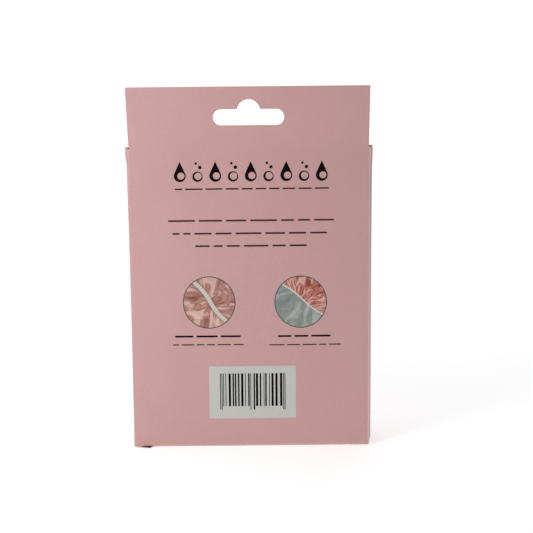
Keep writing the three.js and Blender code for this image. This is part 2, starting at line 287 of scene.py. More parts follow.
def inside(points, loop):
    """For each point, whether it lies inside a closed loop."""
    x, y = points[:, 0], points[:, 1]
    crossings = np.zeros(len(points), int)
    for (x0, y0), (x1, y1) in zip(loop, np.roll(loop, -1, axis=0)):
        spans = (y0 > y) != (y1 > y)
        with np.errstate(divide="ignore", invalid="ignore"):
            at = x0 + (y - y0) * (x1 - x0) / (y1 - y0)
        crossings += spans & (x < at)
    return crossings % 2 == 1


def on_sheet(points, loops):
    """For each point, whether it lies inside the outline, which comes first, and in no hole."""
    found = inside(points, loops[0])
    for hole in loops[1:]:
        found &= ~inside(points, hole)
    return found


square = np.array([(0, 0), (2, 0), (2, 2), (0, 2)])
middle_found, beside_found = inside(np.array([(1, 1), (3, 1)]), square)
print(f"inside a square: its middle {middle_found}, a point beside it {beside_found}")

# %% Flat sheet


def refined(loop, across, along, least=0.03):
    """A closed loop with points added where it crosses the grid lines, so that it bends with them."""
    out = []
    for start, end in zip(loop, np.roll(loop, -1, axis=0)):
        run = end - start
        shares = [0.0]
        for axis, lines in enumerate((across, along)):
            if abs(run[axis]) > least:
                shares += list((np.asarray(lines) - start[axis]) / run[axis])
        gap = least / np.linalg.norm(run)
        last = -1.0
        for share in sorted(shares):
            if 0 <= share < 1 - gap and share - last > gap:
                out.append(start + run * share)
                last = share
    return np.array(out)


def flat_sheet(outline, across, along, holes=(), margin=0.12):
    """Points and triangles of a flat sheet. across and along are its grid lines."""
    loops = [refined(np.array(loop, float), across, along) for loop in (outline, *holes)]
    grid = np.array([(u, v) for u in across for v in along])
    keep = on_sheet(grid, loops)
    edges, points = [], []
    for loop in loops:
        keep &= np.min(np.linalg.norm(grid[:, None] - loop[None], axis=2), axis=1) > margin
        first = len(points)
        points += [tuple(point) for point in loop]
        edges += [(first + i, first + (i + 1) % len(loop)) for i in range(len(loop))]
    points += [tuple(point) for point in grid[keep]]
    found, _, faces, *_ = delaunay_2d_cdt([Vector(point) for point in points], edges, [], 0, 1e-7)
    found, faces = np.array(found), np.array(faces)
    return found, faces[on_sheet(found[faces].mean(axis=1), loops)]


label_lines = np.arange(0, 10, 2.5)
label = flat_sheet([(0, 0), (10, 0), (10, 5), (0, 5)], label_lines, label_lines)
print(f"a label of 10 x 5 mm: {len(label[0])} points, {len(label[1])} triangles")

# %% [markdown]
# ## From flat to folded
# A function says where each point of the flat sheet goes once it is folded. The board's thickness is laid
# off along the folded sheet's own normal. A Solidify modifier does much the same, but here the outside, the
# white inside and the raw cut edge each get their own material, a fold is round on both faces, and a crushed
# place can be thinner.

# %% Mesh pieces
SHARP_EDGE = math.radians(50)


def cut_edges(triangles):
    """The directed edges that only one triangle uses: the sheet's cut edges."""
    sides = np.concatenate([triangles[:, [0, 1]], triangles[:, [1, 2]], triangles[:, [2, 0]]])
    pairs = {tuple(side) for side in sides}
    return [(a, b) for a, b in pairs if (b, a) not in pairs]


def closed_faces(triangles, count):
    """A closed sheet's front, its back, whose points come count places later, and its cut rim."""
    rim = [(a, a + count, b + count, b) for a, b in cut_edges(triangles)]
    return triangles, triangles[:, ::-1] + count, rim


def make_object(name, points, faces, materials, face_material=None, uv=None):
    """A mesh object at the origin from millimetre points."""
    mesh = bpy.data.meshes.new(name)
    mesh.from_pydata((np.asarray(points) / METRE).tolist(), [], [list(map(int, face)) for face in faces])
    for material in materials:
        mesh.materials.append(material)
    if face_material is not None:
        mesh.polygons.foreach_set("material_index", np.asarray(face_material, np.int32))
    if uv is not None:
        corners = np.zeros(len(mesh.loops), np.int32)
        mesh.loops.foreach_get("vertex_index", corners)
        layer = mesh.uv_layers.new(name="flat")
        layer.data.foreach_set("uv", (np.asarray(uv)[corners] / METRE).astype(np.float32).ravel())
    mesh.shade_smooth()
    mesh.set_sharp_from_angle(angle=SHARP_EDGE)
    mesh.validate()
    obj = bpy.data.objects.new(name, mesh)
    bpy.context.scene.collection.objects.link(obj)
    return obj


print(f"the label has {len(cut_edges(label[1]))} cut edges")

# %% Folded board


def surface_normals(place, u, v, step=0.02):
    """Unit normals of a folded surface, from small steps along the flat sheet."""
    along_u = place(u + step, v) - place(u - step, v)
    along_v = place(u, v + step) - place(u, v - step)
    normal = np.cross(along_v, along_u)
    return normal / np.linalg.norm(normal, axis=1, keepdims=True)


def folded_board(name, sheet, place, wear_and_highlight, crush=None):
    """Board folded from a flat sheet. place(u, v) is its printed face, the next how pale it goes from wear
    and painted highlight.

    crush(u, v), if given, is the share of the thickness that is lost, and the share of painted shade."""
    flat, triangles = sheet
    u, v = flat[:, 0], flat[:, 1]
    printed = place(u, v)
    lost, slit_shade = crush(u, v) if crush else (np.zeros_like(u), np.zeros_like(u))
    reverse = printed - board * (1 - lost)[:, None] * surface_normals(place, u, v)
    groups = closed_faces(triangles[:, ::-1], len(flat))
    faces = [face for group in groups for face in group]
    which = [index for index, group in enumerate(groups) for _ in group]
    points = np.concatenate([printed, reverse])
    obj = make_object(name, points, faces, board_materials, which, np.concatenate([flat, flat]))
    for label, values in (("wear_and_highlight", wear_and_highlight(u, v)), ("slit_shade", slit_shade)):
        layer = obj.data.attributes.new(label, "FLOAT", "POINT")
        layer.data.foreach_set("value", np.tile(np.clip(values, 0, 1), 2).astype(np.float32))
    print(f"{name}: {len(obj.data.polygons)} faces")
    return obj


# %% [markdown]
# ## The sleeve
# Back, sides, front and glue flap are one strip, wrapped round the contents. Filled cartons are never quite
# square: the walls swell a little, most at the sides near the top, where the cut beside the header lets the
# folds open, and the header leans out towards the viewer. The walls could be bent with a lattice, but a
# short rule for each wall keeps the folds where the hinges are.

# %% Swells of the walls
fold_radius = 0.9
lid_crease = 1.4
flap_crease = 1.8
back_swell = 0.8
front_swell = 1.1
header_lean = math.tan(math.radians(7.5))
header_bend = 9.0
side_swells = {-1: (1.05, 2.55), 1: (2.5, 2.85)}
side_fullness = 1.25
corner_springs = {-1: (0.75, 8.0, 5.0), 1: (0.6, 16.0, 2.0)}
spring_depth = 12

wall_x = half_width - fold_radius
wall_y = half_depth - fold_radius


def smooth(value, low, high):
    """0 below low, 1 above high, and an easy slope between."""
    share = np.clip((value - low) / (high - low), 0, 1)
    return share * share * (3 - 2 * share)


def bow(place, reach):
    """1 in the middle and 0 at both ends of a wall that reaches so far each way."""
    return np.clip(1 - (place / reach) ** 2, 0, 1)


def panel_swell(x, z):
    """How far a broad wall swells, of 1: most in its middle, nothing at its folds and creases."""
    return bow(x, wall_x) * bow(z - height / 2, height / 2 - lid_crease)


def back_face(x, z):
    """Depth of the printed back: flat at the folds, swollen in the middle, leaning above the lid."""
    above = np.clip(z - height + header_bend / 2, 0, None)
    bent = np.where(above < header_bend, above**2 / (2 * header_bend), above - header_bend / 2)
    return -half_depth - back_swell * panel_swell(x, z) - header_lean * bent


def front_face(x, z):
    """Depth of the plain front."""
    return half_depth + front_swell * panel_swell(x, z)


def corner_opening(y, z, way):
    """How far a side wall springs out beside the header, where the cut frees its fold."""
    gap, start, full = corner_springs[way]
    return gap * smooth(-y, 0, spring_depth) * smooth(z, height - start, height - full)


def side_face(y, z, way):
    """A side wall's printed face. way is -1 on the left and 1 on the right."""
    low, high = side_swells[way]
    swell = (low + (high - low) * z / height) * bow(y, wall_y) ** side_fullness
    return way * (half_width + swell + corner_opening(y, z, way))


print(f"swell: back {back_swell}, front {front_swell}, sides up to {side_swells[1][1]} mm")

# %% Strip of the sleeve
seam_step = 0.65
glue_gap = 0.06
quarter = fold_radius * math.pi / 2
glue_y = half_depth - board - glue_gap
glue_fold_y = glue_y - fold_radius
back_start = half_width - seam_step

strip = [
    ("back", back_start + wall_x),
    ("left_back_fold", quarter),
    ("left", 2 * wall_y),
    ("left_front_fold", quarter),
    ("front", 2 * wall_x),
    ("right_front_fold", quarter),
    ("right", wall_y + glue_fold_y),
    ("glue_fold", quarter),
    ("glue", glue_high[0] - glue_low[0]),
]
strip_stops = np.cumsum([0.0] + [length for _, length in strip])
strip_start = dict(zip([name for name, _ in strip], strip_stops))
strip_end = {name: strip_start[name] + length for name, length in strip}
header_base = height - 0.55
header_left_base = height - 1.1
header_edge = 0.05
print(f"strip {strip_stops[-1]:.1f} mm long, from the seam to the glue flap's end")

# %% Wrap of the sleeve


def wrap_sleeve(u, v):
    """The strip's printed face, wrapped round the carton."""
    x, y, z = np.zeros_like(u), np.zeros_like(u), np.array(v, float)

    def part(name):
        chosen = (u >= strip_start[name]) & (u <= strip_end[name])
        return chosen, u[chosen] - strip_start[name]

    def fold(name, centre_x, centre_y, first_angle, way=0, open_start=0.0):
        chosen, run = part(name)
        angle = first_angle - run / fold_radius
        x[chosen] = centre_x + fold_radius * np.cos(angle)
        y[chosen] = centre_y + fold_radius * np.sin(angle)
        if way:
            freed = np.abs(open_start - run / quarter)
            x[chosen] += way * freed * corner_opening(-wall_y, z[chosen], way)

    fold("left_back_fold", -wall_x, -wall_y, 1.5 * math.pi, way=-1)
    chosen, run = part("left")
    y[chosen] = run - wall_y
    x[chosen] = side_face(y[chosen], z[chosen], -1)
    fold("left_front_fold", -wall_x, wall_y, math.pi)
    chosen, run = part("front")
    x[chosen] = run - wall_x
    y[chosen] = front_face(x[chosen], z[chosen])
    fold("right_front_fold", wall_x, wall_y, math.pi / 2)
    chosen, run = part("right")
    y[chosen] = wall_y - run
    x[chosen] = side_face(y[chosen], z[chosen], 1)
    fold("glue_fold", wall_x, -glue_fold_y, 0.0, way=1, open_start=1.0)
    chosen = u > strip_end["glue_fold"]
    x[chosen] = wall_x - (u[chosen] - strip_end["glue_fold"])
    y[chosen] = back_face(x[chosen], z[chosen]) + half_depth - glue_y
    on_header = (z > header_left_base - header_edge) & (u < strip_start["left"])
    chosen = (u <= strip_end["back"]) | on_header
    x[chosen] = back_start - u[chosen]
    y[chosen] = back_face(x[chosen], z[chosen])
    return np.stack([x, y, z], axis=1)


seam = wrap_sleeve(np.array([0.0]), np.array([height / 2]))[0]
print(f"seam at x {seam[0]:.1f}, y {seam[1]:.1f} mm, half way up")

# %% [markdown]
# ## The die-cut blank
# The outline follows the strip: creases where a lid or a flap goes on, raw edges beside them, a header with
# a slot for the hook, and slanted ends on the glue flap. The slot could be cut out later with a Boolean, but
# in a flat blank a hole is just one more loop. Lids and flaps are pieces of their own, because they swing,
# and each starts at the crease where the sleeve stops.

# %% Hang slot
slot_half_width = 16.0
slot_radius = 3.5
slot_below_top = 13.35
arch_radius = 5.2
arch_rise = 2.55
slot_z = header_top - slot_below_top


def arc(centre_x, centre_y, radius, start_degrees, end_degrees, steps=10):
    """Points on a circle's arc, for outlines."""
    angles = np.radians(np.linspace(start_degrees, end_degrees, steps + 1))
    return [(centre_x + radius * math.cos(a), centre_y + radius * math.sin(a)) for a in angles]


def hang_slot():
    """The hang slot in the flat blank, where u runs against x."""
    ends = slot_half_width - slot_radius
    lift = math.degrees(math.asin((slot_radius - arch_rise) / arch_radius))
    loop = arc(ends, slot_z, slot_radius, -90, 90)
    loop += arc(0, slot_z + arch_rise, arch_radius, lift, 180 - lift, 14)
    loop += arc(-ends, slot_z, slot_radius, 90, 270)
    return [(back_start - x, z) for x, z in loop]


print(f"slot {2 * slot_half_width:.0f} x {2 * slot_radius:.0f} mm, {slot_below_top} mm below the top edge")

# %% Corners of the blank
header_left_low, header_left_high = half_width - 0.5, half_width - 0.05
header_right = half_width - 0.65
header_flare = 0.3
header_dip = 0.5
side_low, side_high = flap_crease, height - flap_crease
raw_low, raw_high = 1.0, height - 0.65
corner_low = 0.15
corner_cut, corner_run, corner_rise = 0.1, 0.2, 0.5
fold_high = height - 1.75
relief_start, relief_full = 2.0, 1.0
front_foot_run, front_top_run = 0.6, 0.15
glue_slope = 4.0
flap_lid_edge = dust_high[1]
flap_tuck_edge = dust_low[1]
print(f"sides: raw edges at {raw_low} and {raw_high:.2f} mm, creases at {side_low} and {side_high:.1f} mm")

# %% Outline of the blank


def flap_crease_line(first, last, raw, crease):
    """The raw edge of a side wall, stepped to the crease where a dust flap goes on."""
    return [(first, raw), (first, crease), (last, crease), (last, raw)]


def blank_outline():
    """Along the bottom from the seam to the glue flap, and back along the top."""
    back, back_fold, left = strip_end["back"], strip_end["left_back_fold"], strip_start["left"]
    front, front_end = strip_start["front"], strip_end["front"]
    glue_fold, glue, glue_end = strip_start["glue_fold"], strip_start["glue"], strip_end["glue"]
    left_middle = left + wall_y
    right_middle = strip_start["right"] + wall_y
    lid, tuck = flap_lid_edge, flap_tuck_edge
    bottom = [
        (0.0, lid_crease),
        (back, lid_crease),
        (back + corner_cut, corner_low),
        (left + corner_run, corner_low),
        (left + corner_rise, raw_low),
        *flap_crease_line(left_middle - lid, left_middle - tuck, raw_low, side_low),
        (front - front_foot_run, raw_low),
        (front, 0.0),
        (front_end, 0.0),
        (front_end + front_foot_run, raw_low),
        *flap_crease_line(right_middle + tuck, right_middle + lid, raw_low, side_low),
        (glue_fold - corner_run, raw_low),
        (glue_fold, corner_low),
        (glue, corner_low),
        (glue, glue_low[2]),
        (glue_end, glue_low[2] + glue_slope),
    ]
    top = [
        (glue_end, glue_high[2] - glue_slope),
        (glue, glue_high[2]),
        (glue, fold_high),
        (glue_fold - relief_full, fold_high),
        (glue_fold - relief_start, raw_high),
        *flap_crease_line(right_middle - tuck, right_middle - lid, raw_high, side_high),
        (front_end + front_top_run, raw_high),
        (front_end, height - lid_crease),
        (front, height - lid_crease),
        (front - front_top_run, raw_high),
        *flap_crease_line(left_middle + lid, left_middle + tuck, raw_high, side_high),
        (back_fold + relief_start, raw_high),
        (back_fold + relief_full, fold_high),
        (back + corner_cut, fold_high),
        (back - front_top_run, header_left_base),
        (back_start + header_left_low, header_left_base + header_flare),
        (back_start + header_left_high, header_top),
        (back_start - header_right, header_top),
        (back_start - header_right, header_base),
        (0.0, header_base - header_dip),
    ]
    return bottom + top


print(f"blank: {len(blank_outline())} corners")

# %% Grid lines, wear and painted highlight of the sleeve
fold_lines = 8
wall_step = 3.5
beside_fold = (0.5, 1.2)
first_row, corner_zone, corner_gap, header_gap = 3.0, 9, 1, 0.5
corner_step, header_step = 1.5, 2.0
# The fold beside the seam gets a full-strength pale line, a painted highlight; the creases get light wear.
crease_rub, seam_highlight = 0.3, 1.0
pale_core, pale_edge = 0.3, 0.9


def strip_lines():
    """Grid lines along the strip, close together in the folds."""
    lines = []
    for name, length in strip:
        start, end = strip_start[name], strip_end[name]
        folded = name.endswith("fold")
        count = fold_lines if folded else math.ceil(length / wall_step)
        lines += list(np.linspace(start, end, count, endpoint=False))
        if not folded:
            lines += [start + inset for inset in beside_fold]
            lines += [end - inset for inset in beside_fold]
    return np.array(lines)


def row_lines():
    """Grid lines up the strip, closer where the corners spring, and level with the glue flap's corners."""
    corners = height - corner_zone
    walls = np.arange(first_row, corners, wall_step)
    springs = np.arange(corners, height - corner_gap, corner_step)
    header = np.arange(height + header_gap, header_top, header_step)
    return np.concatenate([walls, springs, header, [glue_low[2], glue_high[2]]])


def sleeve_wear_and_highlight(u, v):
    """Light wear along the front folds, and a strong pale line on the narrow fold beside the seam, a painted
    highlight.
    """
    wear_and_highlight = np.zeros_like(u)
    pale_lines = {"left_front_fold": crease_rub, "right_front_fold": crease_rub, "glue_fold": seam_highlight}
    for name, share in pale_lines.items():
        distance = np.abs(u - (strip_start[name] + strip_end[name]) / 2)
        wear_and_highlight = np.maximum(wear_and_highlight, share * (1 - smooth(distance, pale_core, pale_edge)))
    return wear_and_highlight * (v < header_base)


print(f"grid: {len(strip_lines())} lines along the strip, {len(row_lines())} up it")

# %% Sleeve
sleeve_sheet = flat_sheet(blank_outline(), strip_lines(), row_lines(), holes=[hang_slot()])
sleeve = folded_board("carton_sleeve", sleeve_sheet, wrap_sleeve, sleeve_wear_and_highlight)
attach(sleeve, "carton")
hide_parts("back_panel", "front_panel", "left_side_panel", "right_side_panel", "glue_flap")

# %% [markdown]
# ## Lids, tongues and dust flaps
# A tuck end is made once, in a frame of its own: the lid's outer face at height 0 and its hinge at +Y. The
# bottom end is the same thing turned over, because a reverse tuck carton closes on opposite walls. Each
# piece runs from one crease to the next, with the crease's own rounding in it.

# %% Frame of a tuck end
tongue_radius = 0.8
tongue_stub = 0.5
flap_plane = board + 0.3
crease_run = lid_crease - fold_radius
crease_core, crease_edge = 0.2, 1.1


def to_end(points, end):
    """From a tuck end's own frame to the carton."""
    points = np.asarray(points, float)
    if end == "top":
        return points + np.array([0, 0, height])
    return points * np.array([1, -1, -1])


def bent_edge(run, straight, radius):
    """A path that goes straight, turns a quarter circle and goes on: (back from the edge, below the top)."""
    turn = radius * math.pi / 2
    angle = np.clip((run - straight) / radius, 0, math.pi / 2)
    below = np.where(run < straight, radius + straight - run, radius * (1 - np.sin(angle)))
    inward = radius * (1 - np.cos(angle)) + np.clip(run - straight - turn, 0, None)
    return inward, below


def crease_wear(straight, radius):
    """A little worn on the crease and not at all a millimetre away from it."""
    middle = straight + radius * math.pi / 4
    return lambda u, v: crease_rub * (1 - smooth(np.abs(v - middle), crease_core, crease_edge))


def board_lines(low, high, fold, step):
    """Grid lines from low to high, close together in the fold."""
    return np.array(sorted([*np.arange(low, high, step), *np.linspace(*fold, fold_lines)]))


def swing(piece, end, node, start, stop):
    """Stand in for a node: bake the piece's place into its points and hide the node; start and stop are not
    used.
    """
    start, stop = to_end([start, stop], end) / METRE
    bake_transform(piece)
    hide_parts(node)


print(f"a crease: {crease_run:.1f} mm straight, then a quarter turn of {fold_radius} mm")

# %% [markdown]
# ## Lids
# A lid is an oblong with a short relief slit at each end of its crease, so that it can slide in beside the
# dust flaps. At the bottom left the slit has sprung open: the board behind it lies flat, and its cut lip is
# crushed and stands out a little; its inside, in the gap, gets painted dark shade. That is too small for a
# bend of its own, so the lip is a rule along the slit, which fades out into the lid.

# %% Slits and the sprung lip
slit_length = 8.8
slit_width = 0.2
slit_share = 0.3
lid_inset = 2
lid_first = 0.1
lip_step, lip_inset = 0.8, 0.5
lip_narrow, lip_wide = 0.2, 0.6
lip_start, lip_full = 0.3, 2.0
lip_fade = 9.0
lip_reach = 2.4
lip_level = 1
bulge_rise, bulge_fall = (-2.0, 6.0), (7.0, slit_length)
# A lit strip along the lip's cut edge, then painted shade behind it.
lip_lit_strip = 1.1
lit_strip_taper = (4.5, 7.5)
shade_blur, shade_fade = 0.5, 5
lip_crush = 0.85
crush_fade, crush_taper = (2, 6), (1.5, 4.0)
print(f"slits {slit_length} mm long, the sprung lip stands out by up to {lip_reach} mm")

# %% Lids


def make_lid(end, sprung):
    """A lid from its crease to the tongue's, with a short relief slit at each end of the crease.

    Where the left slit is sprung, the lid behind it lies flat up to a cut lip that the die has crushed."""
    turn = fold_radius * math.pi / 2
    flat_end = tongue_face - tongue_radius - tongue_stub
    length = crease_run + turn + (half_depth - fold_radius) + flat_end
    slit = crease_run + slit_share * turn
    inner_end = slit_length - wall_x

    def lip(u, v):
        """1 behind the sprung slit, 0 elsewhere."""
        behind = v > slit + slit_width / 2
        return sprung * smooth(-u, lip_start - inner_end, lip_full - inner_end) * behind

    def reach(u, v):
        """How far the lip stands out: most near the slit's inner end."""
        from_end = u + wall_x
        bulge = smooth(from_end, *bulge_rise) * (1 - smooth(from_end, *bulge_fall))
        return lip_reach * bulge * (1 - smooth(v, slit + lip_level, slit + lip_fade))

    def place(u, v):
        inward, below = bent_edge(v, crease_run, fold_radius)
        lying = v - crease_run - turn + fold_radius - reach(u, v)
        inward = inward + (lying - inward) * lip(u, v)
        below = below * (1 - lip(u, v))
        return to_end(np.stack([u, half_depth - inward, -below], axis=1), end)

    def crush(u, v):
        """Thickness lost on the lip, and painted shade behind a lit strip at its cut edge."""
        from_end = u + wall_x
        lit_edge_end = slit + lip_narrow + (lip_wide - lip_narrow) * from_end / slit_length
        lit_edge_end = lit_edge_end + lip_lit_strip * (1 - smooth(from_end, *lit_strip_taper))
        # Painted shade: dark behind the lit strip, where the gap lies in shadow.
        slit_shade = smooth(v, lit_edge_end, lit_edge_end + shade_blur) * (1 - smooth(v, slit + shade_fade, slit + lip_fade))
        near, far = crush_fade
        lost = lip_crush * (1 - smooth(v, slit + near, slit + far)) * smooth(from_end, *crush_taper)
        return lip(u, v) * lost, lip(u, v) * slit_shade

    outline = [
        (-wall_x, 0),
        (wall_x, 0),
        (wall_x, slit),
        (wall_x - slit_length, slit + slit_width / 2),
        (wall_x, slit + slit_width),
        (wall_x, length),
        (-wall_x, length),
        (-wall_x, slit + (lip_narrow if sprung else slit_width)),
        (inner_end, slit + (lip_wide if sprung else slit_width)),
        (inner_end, slit),
        (-wall_x, slit),
    ]
    across = np.arange(-wall_x + lid_inset, wall_x, wall_step)
    along = board_lines(lid_first, length, (crease_run, crease_run + turn), wall_step)
    if sprung:
        across = np.union1d(across, np.arange(lip_inset - wall_x, inner_end + 1, lip_step))
        along = np.union1d(along, np.arange(crease_run + turn + lip_inset, slit + lip_fade, lip_step))
    sheet = flat_sheet(outline, across, along)
    lid = folded_board(f"{end}_lid_board", sheet, place, crease_wear(crease_run, fold_radius), crush)
    start, stop = (0, half_depth, -lid_crease), (0, half_depth - lid_crease, 0)
    swing(lid, end, f"{end}_lid", start, stop)


make_lid("top", sprung=0)
make_lid("bottom", sprung=1)

# %% [markdown]
# ## Tongues
# A tongue is the lid's tuck-in end. It has round corners, so that it finds its way behind the wall, straight
# shoulders, and a slit at each end of its crease that catches on the dust flaps and locks the lid. On the
# blank it is one with its lid, but it bends on a hinge of its own, so it is a sheet that starts on the lid.

# %% Tongues
tongue_shoulder = 4.0
lock_slit = 8.0
tongue_step = 2.5


def make_tongue(end):
    """A tuck tongue: a slit lock at each end of its crease, straight shoulders and round corners."""
    turn = tongue_radius * math.pi / 2
    down = tongue_stub + turn
    length = down + tongue_length - tongue_radius
    side = tongue_half_width
    radius = tongue_length - tongue_shoulder
    lock = tongue_stub + slit_share * turn

    def place(u, v):
        fall, back = bent_edge(v, tongue_stub, tongue_radius)
        return to_end(np.stack([u, back - tongue_face, -fall], axis=1), end)

    outline = [
        (-side, 0),
        (side, 0),
        (side, lock),
        (side - lock_slit, lock + slit_width / 2),
        (side, lock + slit_width),
        *arc(side - radius, length - radius, radius, 0, 90),
        *arc(radius - side, length - radius, radius, 90, 180),
        (-side, lock + slit_width),
        (lock_slit - side, lock + slit_width / 2),
        (-side, lock),
    ]
    across = np.arange(-side + lid_inset, side, wall_step)
    along = board_lines(down + 1, length, (tongue_stub, down), tongue_step)
    sheet = flat_sheet(outline, across, along)
    tongue = folded_board(f"{end}_tongue_board", sheet, place, crease_wear(tongue_stub, tongue_radius))
    bend = tongue_radius + tongue_stub
    start, stop = (0, bend - tongue_face, 0), (0, -tongue_face, -bend)
    swing(tongue, end, f"{end}_tongue", start, stop)


for end in ("top", "bottom"):
    make_tongue(end)

# %% [markdown]
# ## Dust flaps
# A dust flap folds in from a side wall under the lid. The die draws it in towards its free corners, so that
# it passes the lid and the tongue. At its crease it has to follow the swollen wall, and further in it lies
# flat, so the swell is added at the crease and faded out along the flap.

# %% Dust flaps
dust_lid_taper = 0.34
dust_tuck_taper = 0.24
dust_corner = 2.5
dust_length = dust_high[0] - dust_low[0]
swell_fade = 14.0
flap_across, flap_along = np.arange(-14, 14, 2.5), 3.0


def make_dust_flap(end, side):
    """A dust flap, folded in from a side wall under the lid and drawn in towards its free corners."""
    way = -1 if side == "left" else 1
    straight = flap_crease - flap_plane - fold_radius
    turn = fold_radius * math.pi / 2
    flat_start = straight + turn - fold_radius
    length = flat_start + dust_length
    seam = side_high if end == "top" else side_low
    over = 1 if end == "top" else -1

    def place(u, v):
        y = -way * u
        inward, below = bent_edge(v, straight, fold_radius)
        swell = side_face(over * y, np.full_like(y, seam), way) - way * half_width
        x = way * (half_width - inward) + swell * (1 - smooth(v, turn, swell_fade))
        return to_end(np.stack([x, y, -below - flap_plane], axis=1), end)

    lid_corner = flap_lid_edge - dust_lid_taper * dust_length
    tuck_corner = flap_tuck_edge + dust_tuck_taper * dust_length
    outline = [
        (flap_tuck_edge, 0),
        (flap_lid_edge, 0),
        (flap_lid_edge, straight + turn),
        *arc(lid_corner - dust_corner, length - dust_corner, dust_corner, 15, 90, 6),
        *arc(tuck_corner + dust_corner, length - dust_corner, dust_corner, 90, 165, 6),
        (flap_tuck_edge, straight + turn),
    ]
    outline = [(-way * y, v) for y, v in outline]
    along = board_lines(lid_first, length, (straight, straight + turn), flap_along)
    sheet = flat_sheet(outline, flap_across, along)
    name = f"{end}_{side}_dust_flap"
    flap = folded_board(f"{name}_board", sheet, place, crease_wear(straight, fold_radius))
    start = (way * half_width, 0, -flap_crease)
    stop = (way * (half_width - lid_crease), 0, -flap_plane)
    swing(flap, end, name, start, stop)


for end in ("top", "bottom"):
    for side in ("left", "right"):
        make_dust_flap(end, side)

# %% [markdown]
# ## Print
# The print is offset ink under the matt film. It could be an image on the board, but an image goes soft close
# by. Ink has hardly any thickness, and a film of its own keeps every edge sharp at any distance, so each
# print is a closed film that stands a few hundredths of a millimetre off the board and follows its swell. The
# design is a generic one: a row of drops and bubbles as a headline, rows of plain rules, two round pictures
# of gathered cloth, and a white panel with bars.

# %% Ink materials


def make_flat_ink(name, dark, light, shine):
    """Offset ink under the matt film: even, with a trace of the press's mottle."""
    mottle_size = 0.8
    material, tree, bsdf = new_material(name, Roughness=0.5, IOR=1.48, Specular_IOR_Level=shine)
    place = add(tree, "ShaderNodeTexCoord").outputs["Object"]
    mottle = add(tree, "ShaderNodeTexNoise", {"Vector": place, "Scale": METRE / mottle_size, "Detail": 2.0})
    tone = add(tree, "ShaderNodeValToRGB", {"Fac": mottle}, [(0.3, dark), (0.7, light)])
    feed(tree, bsdf, {"Base Color": tone})
    return material


headline_ink = make_flat_ink("near_black_offset_ink", "#080403", "#100807", 0.05)
rule_ink = make_flat_ink("brown_black_offset_ink", "#33201e", "#3e2926", 0.2)
rim_ink = make_flat_ink("slate_offset_ink", "#3d5052", "#48595b", 0.3)
panel_ink = make_flat_ink("white_offset_ink", "#bebfba", "#c3c4bf", 0.5)
print("inks:", ", ".join(ink.name for ink in (headline_ink, rule_ink, rim_ink, panel_ink)))

# %% Film on the printed back
ink_height = 0.03
ink_root = 0.06
film_step = 3.0
film_margin = 0.25
slope_step = 0.05


def on_back(x, z, out):
    """Points of the printed back, moved out from the board."""
    slope_x = (back_face(x + slope_step, z) - back_face(x - slope_step, z)) / (2 * slope_step)
    slope_z = (back_face(x, z + slope_step) - back_face(x, z - slope_step)) / (2 * slope_step)
    normal = np.stack([slope_x, -np.ones_like(x), slope_z], axis=1)
    normal /= np.linalg.norm(normal, axis=1, keepdims=True)
    return np.stack([x, back_face(x, z), z], axis=1) + np.asarray(out)[..., None] * normal


def ink_film(name, points, faces, ink, flat):
    """A film of ink as a piece that stays with the carton."""
    film = make_object(name, points, faces, [ink], uv=flat)
    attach(film, "carton")
    print(f"{name}: {len(film.data.polygons)} faces")


def print_film(name, shapes, ink, height_out=ink_height):
    """One film from flat shapes, each an outline with its holes, in the back's x and z."""
    points, faces, flats = [], [], []
    for outline, *holes in shapes:
        low, high = np.min(outline, axis=0), np.max(outline, axis=0)
        across, along = (np.arange(low[axis], high[axis], film_step) for axis in (0, 1))
        flat, triangles = flat_sheet(outline, across, along, holes, film_margin)
        first, count = sum(map(len, points)), len(flat)
        for out in (height_out, -ink_root):
            points.append(on_back(flat[:, 0], flat[:, 1], np.full(count, out)))
            flats.append(flat)
        for group in closed_faces(triangles, count):
            faces += [tuple(int(i) + first for i in face) for face in group]
    ink_film(name, np.concatenate(points), faces, ink, np.concatenate(flats))


print(f"ink stands {ink_height} mm off the board and reaches {ink_root} mm into it")

# %% Headline of drops and bubbles
headline_middle = (0.75, 127.6)
headline_width, headline_height = 70.0, 9.2
headline_marks = 9
mark_width = 5.6
drop_radius, glint_radius, glint_shift = 2.7, 1.6, 0.5
bubble_radius, bubble_hole, hole_shift = 2.35, 1.65, (0.25, 0.2)
small_bubbles = [(1.1, 1.9, 0.8), (-0.7, 3.7, 0.6)]


def circle(centre, radius, steps=72):
    """A closed circle for outlines."""
    return arc(*centre, radius, 0, 360 - 360 / steps, steps - 1)


def drop_outline(x, z, radius, rise):
    """A drop: most of a circle, drawn up to a point."""
    open_angle = math.degrees(math.acos(radius / rise))
    return arc(x, z, radius, 90 + open_angle, 450 - open_angle, 28) + [(x, z + rise)]


def headline_shapes():
    """Drops, and bubbles with two small ones above them, turn about."""
    pitch = (headline_width - mark_width) / (headline_marks - 1)
    z = headline_middle[1]
    shapes = []
    for index in range(headline_marks):
        x = headline_middle[0] + (index - (headline_marks - 1) / 2) * pitch
        if index % 2 == 0:
            low = z - headline_height / 2 + drop_radius
            glint = circle((x + glint_shift, low), glint_radius, 32)
            shapes.append([drop_outline(x, low, drop_radius, headline_height - drop_radius), glint])
        else:
            low = z - headline_height / 2 + bubble_radius
            hole = circle((x + hole_shift[0], low + hole_shift[1]), bubble_hole, 36)
            shapes.append([circle((x, low), bubble_radius, 36), hole])
            shapes += [[circle((x + right, z + up), size, 20)] for right, up, size in small_bubbles]
    return shapes


print_film("headline_drops", headline_shapes(), headline_ink)

# %% [markdown]
# ## Rules and bars
# Rules and bars are the same thing many times: a small oblong at a point, with its own size. Copies placed by
# a loop would do, but Geometry Nodes says it once for all of them. Each point carries a size, an oblong is
# put on every point, its corners are rounded, and the flat shape is filled and raised into a film.
# Afterwards the flat film is laid on the swollen back.

# %% Geometry Nodes tree for printed marks
corner_points = 5
weld_distance = 0.0005


